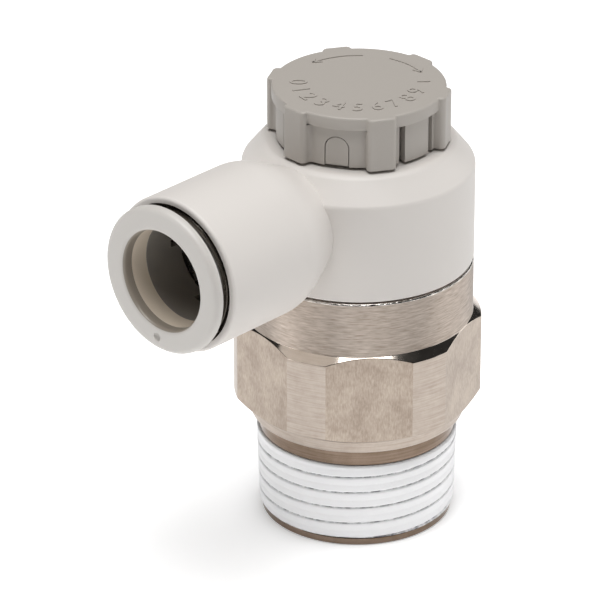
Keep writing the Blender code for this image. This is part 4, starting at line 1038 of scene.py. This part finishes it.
core = turned(
    [
        (0, WEB_TOP, 0),
        (CORE_RADIUS, WEB_TOP, SMALL_EDGE),
        (CORE_RADIUS, CORE_LOW, SMALL_EDGE),
        (CORE_BORE, CORE_LOW, 0),
        (CORE_BORE, RIB_LOW, 0),
        (RIB_RADIUS, RIB_LOW, 0),
        (RIB_RADIUS, RIB_HIGH, 0),
        (CORE_BORE, RIB_HIGH, 0),
        (CORE_BORE, WEB_LOW, 0),
        (0, WEB_LOW, 0),
    ]
)
additions = [("UNION", hexagon_bar(SHANK_ACROSS_FLATS, SHANK_LOW, WEB_TOP - 0.0004, KNOB_TURN))]
for turn in WINDOWS:
    tab = knob_bar(
        CORE_RADIUS - 0.0005, KNOB_WALL_RADIUS - CORE_GAP, ARCH_WIDTH - 2 * CORE_GAP,
        CORE_LOW, ARCH_TOP - CORE_GAP, turn, arched=True,
    )
    additions.append(("UNION", tab))
core = machined(core, *additions)
# Acetal moulded in mid grey: even and matt, so that only its edges catch the light.
knob_plastic = moulded("polyacetal_grey_moulded", KNOB_GREY, dullness=0.5)
fitted("knob_drive", core, [knob_plastic], "knob_core", edge=0.00004)

# Knob cap
# Moulded cup with six grips. It is pulled up to turn and pushed down to lock. Every second gap has
# an arch window, and the others a snap finger between two slots.
KNOB_LOW = 0.0423
KNOB_TOP = 0.0479
LIP_LOW = 0.04655
CAP_BORE = 0.0075
DISC_RADIUS = 0.00885
GRIPS = 6
GRIP_RADIUS = 0.00935
GRIP_INSIDE = 0.0078
GRIP_WIDTH = 0.0030
GRIP_CORNER = 0.0005
GRIP_FILLET = 0.0004
LID_FILLET = 0.0001
CUT_INSIDE = 0.00705
CUT_BELOW = KNOB_LOW - 0.001
FINGER_SLOT = 0.0007
TOP_EDGE = 0.00024
RIM_EDGE = 0.00009
FLAT_ANGLE = math.radians(0.5)
FINGERS = [KNOB_TURN + math.radians(60 * gap + 30) for gap in (0, 2, 4)]


def upright_edges(bm, hollow):
    """The upright edges of a knob blank: the hollow ones, at the roots of its grips, or the others."""
    chosen = []
    for edge in bm.edges:
        one, other = (vert.co for vert in edge.verts)
        if abs(one.z - other.z) > 1e-5 and (one - other).xy.length < 1e-6 and len(edge.link_faces) == 2:
            bend = edge.calc_face_angle_signed()
            if (bend < -0.5) if hollow else (bend > 0.5):
                chosen.append(edge)
    return chosen


def round_over(bm, edges, size, segments):
    """Rounds edges, as they are in the mould."""
    bmesh.ops.bevel(
        bm, geom=edges, offset=size, offset_type="OFFSET", affect="EDGES",
        segments=segments, profile=0.5, material=-1,
    )


def gripped(radius, low, high, fillet):
    """A disc with the six grips on it, and a fillet at each grip's root."""
    bars = []
    for grip in range(GRIPS):
        turn = KNOB_TURN + math.radians(360 / GRIPS * grip)
        bar = knob_bar(GRIP_INSIDE, GRIP_RADIUS, GRIP_WIDTH, low, high, 0)
        uprights = upright_edges(bar, hollow=False)
        outer = [edge for edge in uprights if edge.verts[0].co.x > GRIP_RADIUS - GRIP_CORNER]
        round_over(bar, outer, GRIP_CORNER, 5)
        bmesh.ops.rotate(bar, cent=(0, 0, 0), matrix=Matrix.Rotation(turn, 3, "Z"), verts=bar.verts)
        bars.append(("UNION", bar))
    bm = machined(turned([(0, low, 0), (radius, low, 0), (radius, high, 0), (0, high, 0)]), *bars)
    bmesh.ops.dissolve_limit(bm, angle_limit=FLAT_ANGLE, verts=bm.verts, edges=bm.edges)
    round_over(bm, upright_edges(bm, hollow=True), fillet, 4)
    return bm


skirt = gripped(KNOB_WALL_RADIUS, KNOB_LOW, LIP_LOW, GRIP_FILLET)
lid = gripped(DISC_RADIUS, LIP_LOW, KNOB_TOP, LID_FILLET)
bore = turned([(0, CUT_BELOW, 0), (CAP_BORE, CUT_BELOW, 0), (CAP_BORE, LIP_LOW, 0), (0, LIP_LOW, 0)])
works = [("UNION", lid), ("DIFFERENCE", bore)]
for turn in WINDOWS:
    window = knob_bar(CUT_INSIDE, GRIP_RADIUS, ARCH_WIDTH, CUT_BELOW, ARCH_TOP, turn, arched=True)
    works.append(("DIFFERENCE", window))
beside_grip = GRIP_WIDTH / 2 + GRIP_FILLET + FINGER_SLOT / 2 + 0.0001
offset = math.radians(180 / GRIPS) - math.asin(beside_grip / KNOB_WALL_RADIUS)
for turn in FINGERS:
    for side in (-1, 1):
        bearing = turn + side * offset
        slot = knob_bar(CUT_INSIDE, GRIP_RADIUS, FINGER_SLOT, CUT_BELOW, LIP_LOW - 0.0001, bearing)
        works.append(("DIFFERENCE", slot))
cap = machined(skirt, *works)
bmesh.ops.dissolve_limit(cap, angle_limit=FLAT_ANGLE, verts=cap.verts, edges=cap.edges)


def level_edges(bm, height):
    """The edges at this height where a knob face meets a level one, outside the bore."""
    return [
        edge for edge in bm.edges
        if all(abs(vert.co.z - height) < 1e-6 and vert.co.xy.length > CAP_BORE + 1e-4 for vert in edge.verts)
        and len(edge.link_faces) == 2 and edge.calc_face_angle_signed() > 0.5
    ]


round_over(cap, level_edges(cap, KNOB_TOP), TOP_EDGE, 4)
round_over(cap, level_edges(cap, KNOB_LOW), RIM_EDGE, 2)
round_over(cap, level_edges(cap, LIP_LOW), RIM_EDGE, 2)
fitted("knob_shell", cap, [knob_plastic], "knob_cap")

# Knob marks
# Raised in the mould of the cap, of its plastic: plain numerals round the front of the dial, an index
# line, and two arrows that show which way closes the valve and which way opens it.
MARK_HEIGHT = 0.00014
NUMERAL_RING = 0.0062
NUMERAL_SIZE = 0.0026
NUMERAL_FIRST = 132
NUMERAL_STEP = 17.9
STROKE = 0.00018
INDEX_TURN = math.radians(315)
INDEX_FROM = 0.0059
INDEX_TO = 0.0072
ARROW_RING = 0.0068
BARB_LENGTH = 0.0010
BARB_ANGLE = math.radians(32)


def dial_mark(bm, name):
    """A raised mark of the knob."""
    fitted_mark = loose(bm)
    fitted_mark.name = fitted_mark.data.name = name
    fitted_mark.data.materials.append(knob_plastic)
    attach(fitted_mark, "knob")
    return fitted_mark


def arrow(start, end):
    """A curved stroke with a barbed head, from one bearing in degrees to another."""
    bm = bmesh.new()
    corners = [(-STROKE / 2, 0), (STROKE / 2, 0), (STROKE / 2, MARK_HEIGHT), (-STROKE / 2, MARK_HEIGHT)]
    face = bm.faces.new([bm.verts.new((ARROW_RING + x, 0, z)) for x, z in corners])
    bmesh.ops.spin(
        bm, geom=[face], cent=(0, 0, 0), axis=(0, 0, 1), angle=math.radians(end - start), steps=32,
    )
    bmesh.ops.rotate(bm, cent=(0, 0, 0), matrix=Matrix.Rotation(math.radians(start), 3, "Z"), verts=bm.verts)
    ahead = 1 if end > start else -1
    for side in (-1, 1):
        barb = bmesh.ops.create_cube(bm, size=1)["verts"]
        bmesh.ops.scale(bm, vec=(STROKE, BARB_LENGTH, MARK_HEIGHT), verts=barb)
        bmesh.ops.translate(bm, vec=(0, -ahead * BARB_LENGTH / 2, MARK_HEIGHT / 2), verts=barb)
        spread = Matrix.Rotation(ahead * side * BARB_ANGLE, 3, "Z")
        bmesh.ops.rotate(bm, cent=(0, 0, 0), matrix=spread, verts=barb)
        bmesh.ops.translate(bm, vec=(ARROW_RING, 0, 0), verts=barb)
        bmesh.ops.rotate(bm, cent=(0, 0, 0), matrix=Matrix.Rotation(math.radians(end), 3, "Z"), verts=barb)
    bmesh.ops.translate(bm, vec=(0, 0, KNOB_TOP - MARK_HEIGHT / 4), verts=bm.verts)
    bmesh.ops.recalc_face_normals(bm, faces=bm.faces)
    return bm


dial_mark(arrow(39, 86), "arrow_closing")
dial_mark(arrow(15, -25), "arrow_opening")
mark_low = KNOB_TOP - MARK_HEIGHT / 4
index = knob_bar(INDEX_FROM, INDEX_TO, STROKE, mark_low, mark_low + MARK_HEIGHT, INDEX_TURN)
dial_mark(index, "index_line")
for number in range(10):
    text = bpy.data.curves.new("numeral", "FONT")
    text.body = str(number)
    text.size = NUMERAL_SIZE
    text.align_x = "CENTER"
    text.align_y = "CENTER"
    text.extrude = MARK_HEIGHT / 2
    text.resolution_u = 4
    numeral = bpy.data.objects.new("numeral", text)
    bpy.context.scene.collection.objects.link(numeral)
    bpy.context.view_layer.update()
    shaped = numeral.evaluated_get(bpy.context.evaluated_depsgraph_get())
    bm = bmesh.new()
    bm.from_mesh(shaped.to_mesh())
    shaped.to_mesh_clear()
    bpy.data.objects.remove(numeral)
    turn = Matrix.Rotation(math.radians(NUMERAL_FIRST + number * NUMERAL_STEP) + math.pi / 2, 3, "Z")
    bmesh.ops.translate(bm, vec=(0, -NUMERAL_RING, KNOB_TOP + MARK_HEIGHT / 4), verts=bm.verts)
    bmesh.ops.rotate(bm, cent=(0, 0, 0), matrix=turn, verts=bm.verts)
    dial_mark(bm, f"numeral_{number}")

# Floor, lights and camera
# The valve stands on plain white card, under a soft box overhead and a low one on each side. A long
# lens looks at it from the barrel's side and from above.
CARD_SIZE = 4.0
CARD_WHITE = "FAFAFA"
SKY_WHITE = "F5F5F7"
VALVE_MIDDLE = 0.025
CAMERA_TURN = math.radians(-46.899170)
CAMERA_RISE = math.radians(26.479276)
CAMERA_AWAY = 0.491802
CAMERA_AIM_SIDE = -0.006448193
CAMERA_AIM_HEIGHT = 0.02399079
CAMERA_LENS = 291.233

floor = bmesh.new()
bmesh.ops.create_grid(floor, x_segments=1, y_segments=1, size=CARD_SIZE)
floor = loose(floor)
floor.name = "floor"
# Matt white card, lit a little from below, so that it burns out to white and only holds soft shadows.
card, tree, shader, place = new_finish("white_card")
shader.inputs["Base Color"].default_value = linear(CARD_WHITE)
shader.inputs["Roughness"].default_value = 0.9
shader.inputs["Emission Color"].default_value = (1, 1, 1, 1)
shader.inputs["Emission Strength"].default_value = 0.35
floor.data.materials.append(card)


def outwards(turn, rise):
    """The direction from the valve to this bearing and height above the horizon."""
    return Vector((math.sin(turn) * math.cos(rise), -math.cos(turn) * math.cos(rise), math.sin(rise)))


def soft_light(name, turn, rise, away, width, height, power):
    """Soft box that faces the valve, from this bearing and this many degrees above the horizon."""
    lamp = bpy.data.lights.new(name, "AREA")
    lamp.shape = "RECTANGLE"
    lamp.size = width
    lamp.size_y = height
    lamp.energy = power
    light = bpy.data.objects.new(name, lamp)
    back = outwards(math.radians(turn), math.radians(rise))
    light.location = Vector((0, 0, VALVE_MIDDLE)) + back * away
    light.rotation_euler = back.to_track_quat("Z", "Y").to_euler()
    bpy.context.scene.collection.objects.link(light)


soft_light("right", turn=56, rise=13, away=0.6, width=0.6, height=0.35, power=0.76)
soft_light("left", turn=-119, rise=9, away=0.6, width=0.28, height=0.3, power=0.64)
soft_light("top", turn=-47, rise=83, away=0.6, width=0.45, height=0.45, power=4.35)

world = bpy.data.worlds.new("studio")
world.use_nodes = True
sky = world.node_tree.nodes["Background"]
sky.inputs["Color"].default_value = linear(SKY_WHITE)
sky.inputs["Strength"].default_value = 0.03
bpy.context.scene.world = world
bpy.context.scene.view_settings.view_transform = "Standard"

camera = bpy.data.objects.new("camera", bpy.data.cameras.new("camera"))
right = Vector((math.cos(CAMERA_TURN), math.sin(CAMERA_TURN), 0))
aim = right * CAMERA_AIM_SIDE + Vector((0, 0, CAMERA_AIM_HEIGHT))
camera.location = aim + outwards(CAMERA_TURN, CAMERA_RISE) * CAMERA_AWAY
camera.rotation_euler = (math.radians(90) - CAMERA_RISE, 0, CAMERA_TURN)
camera.data.lens = CAMERA_LENS
camera.data.sensor_width = 36
camera.data.clip_start = 0.01
camera.data.clip_end = 20
bpy.context.scene.collection.objects.link(camera)
bpy.context.scene.camera = camera
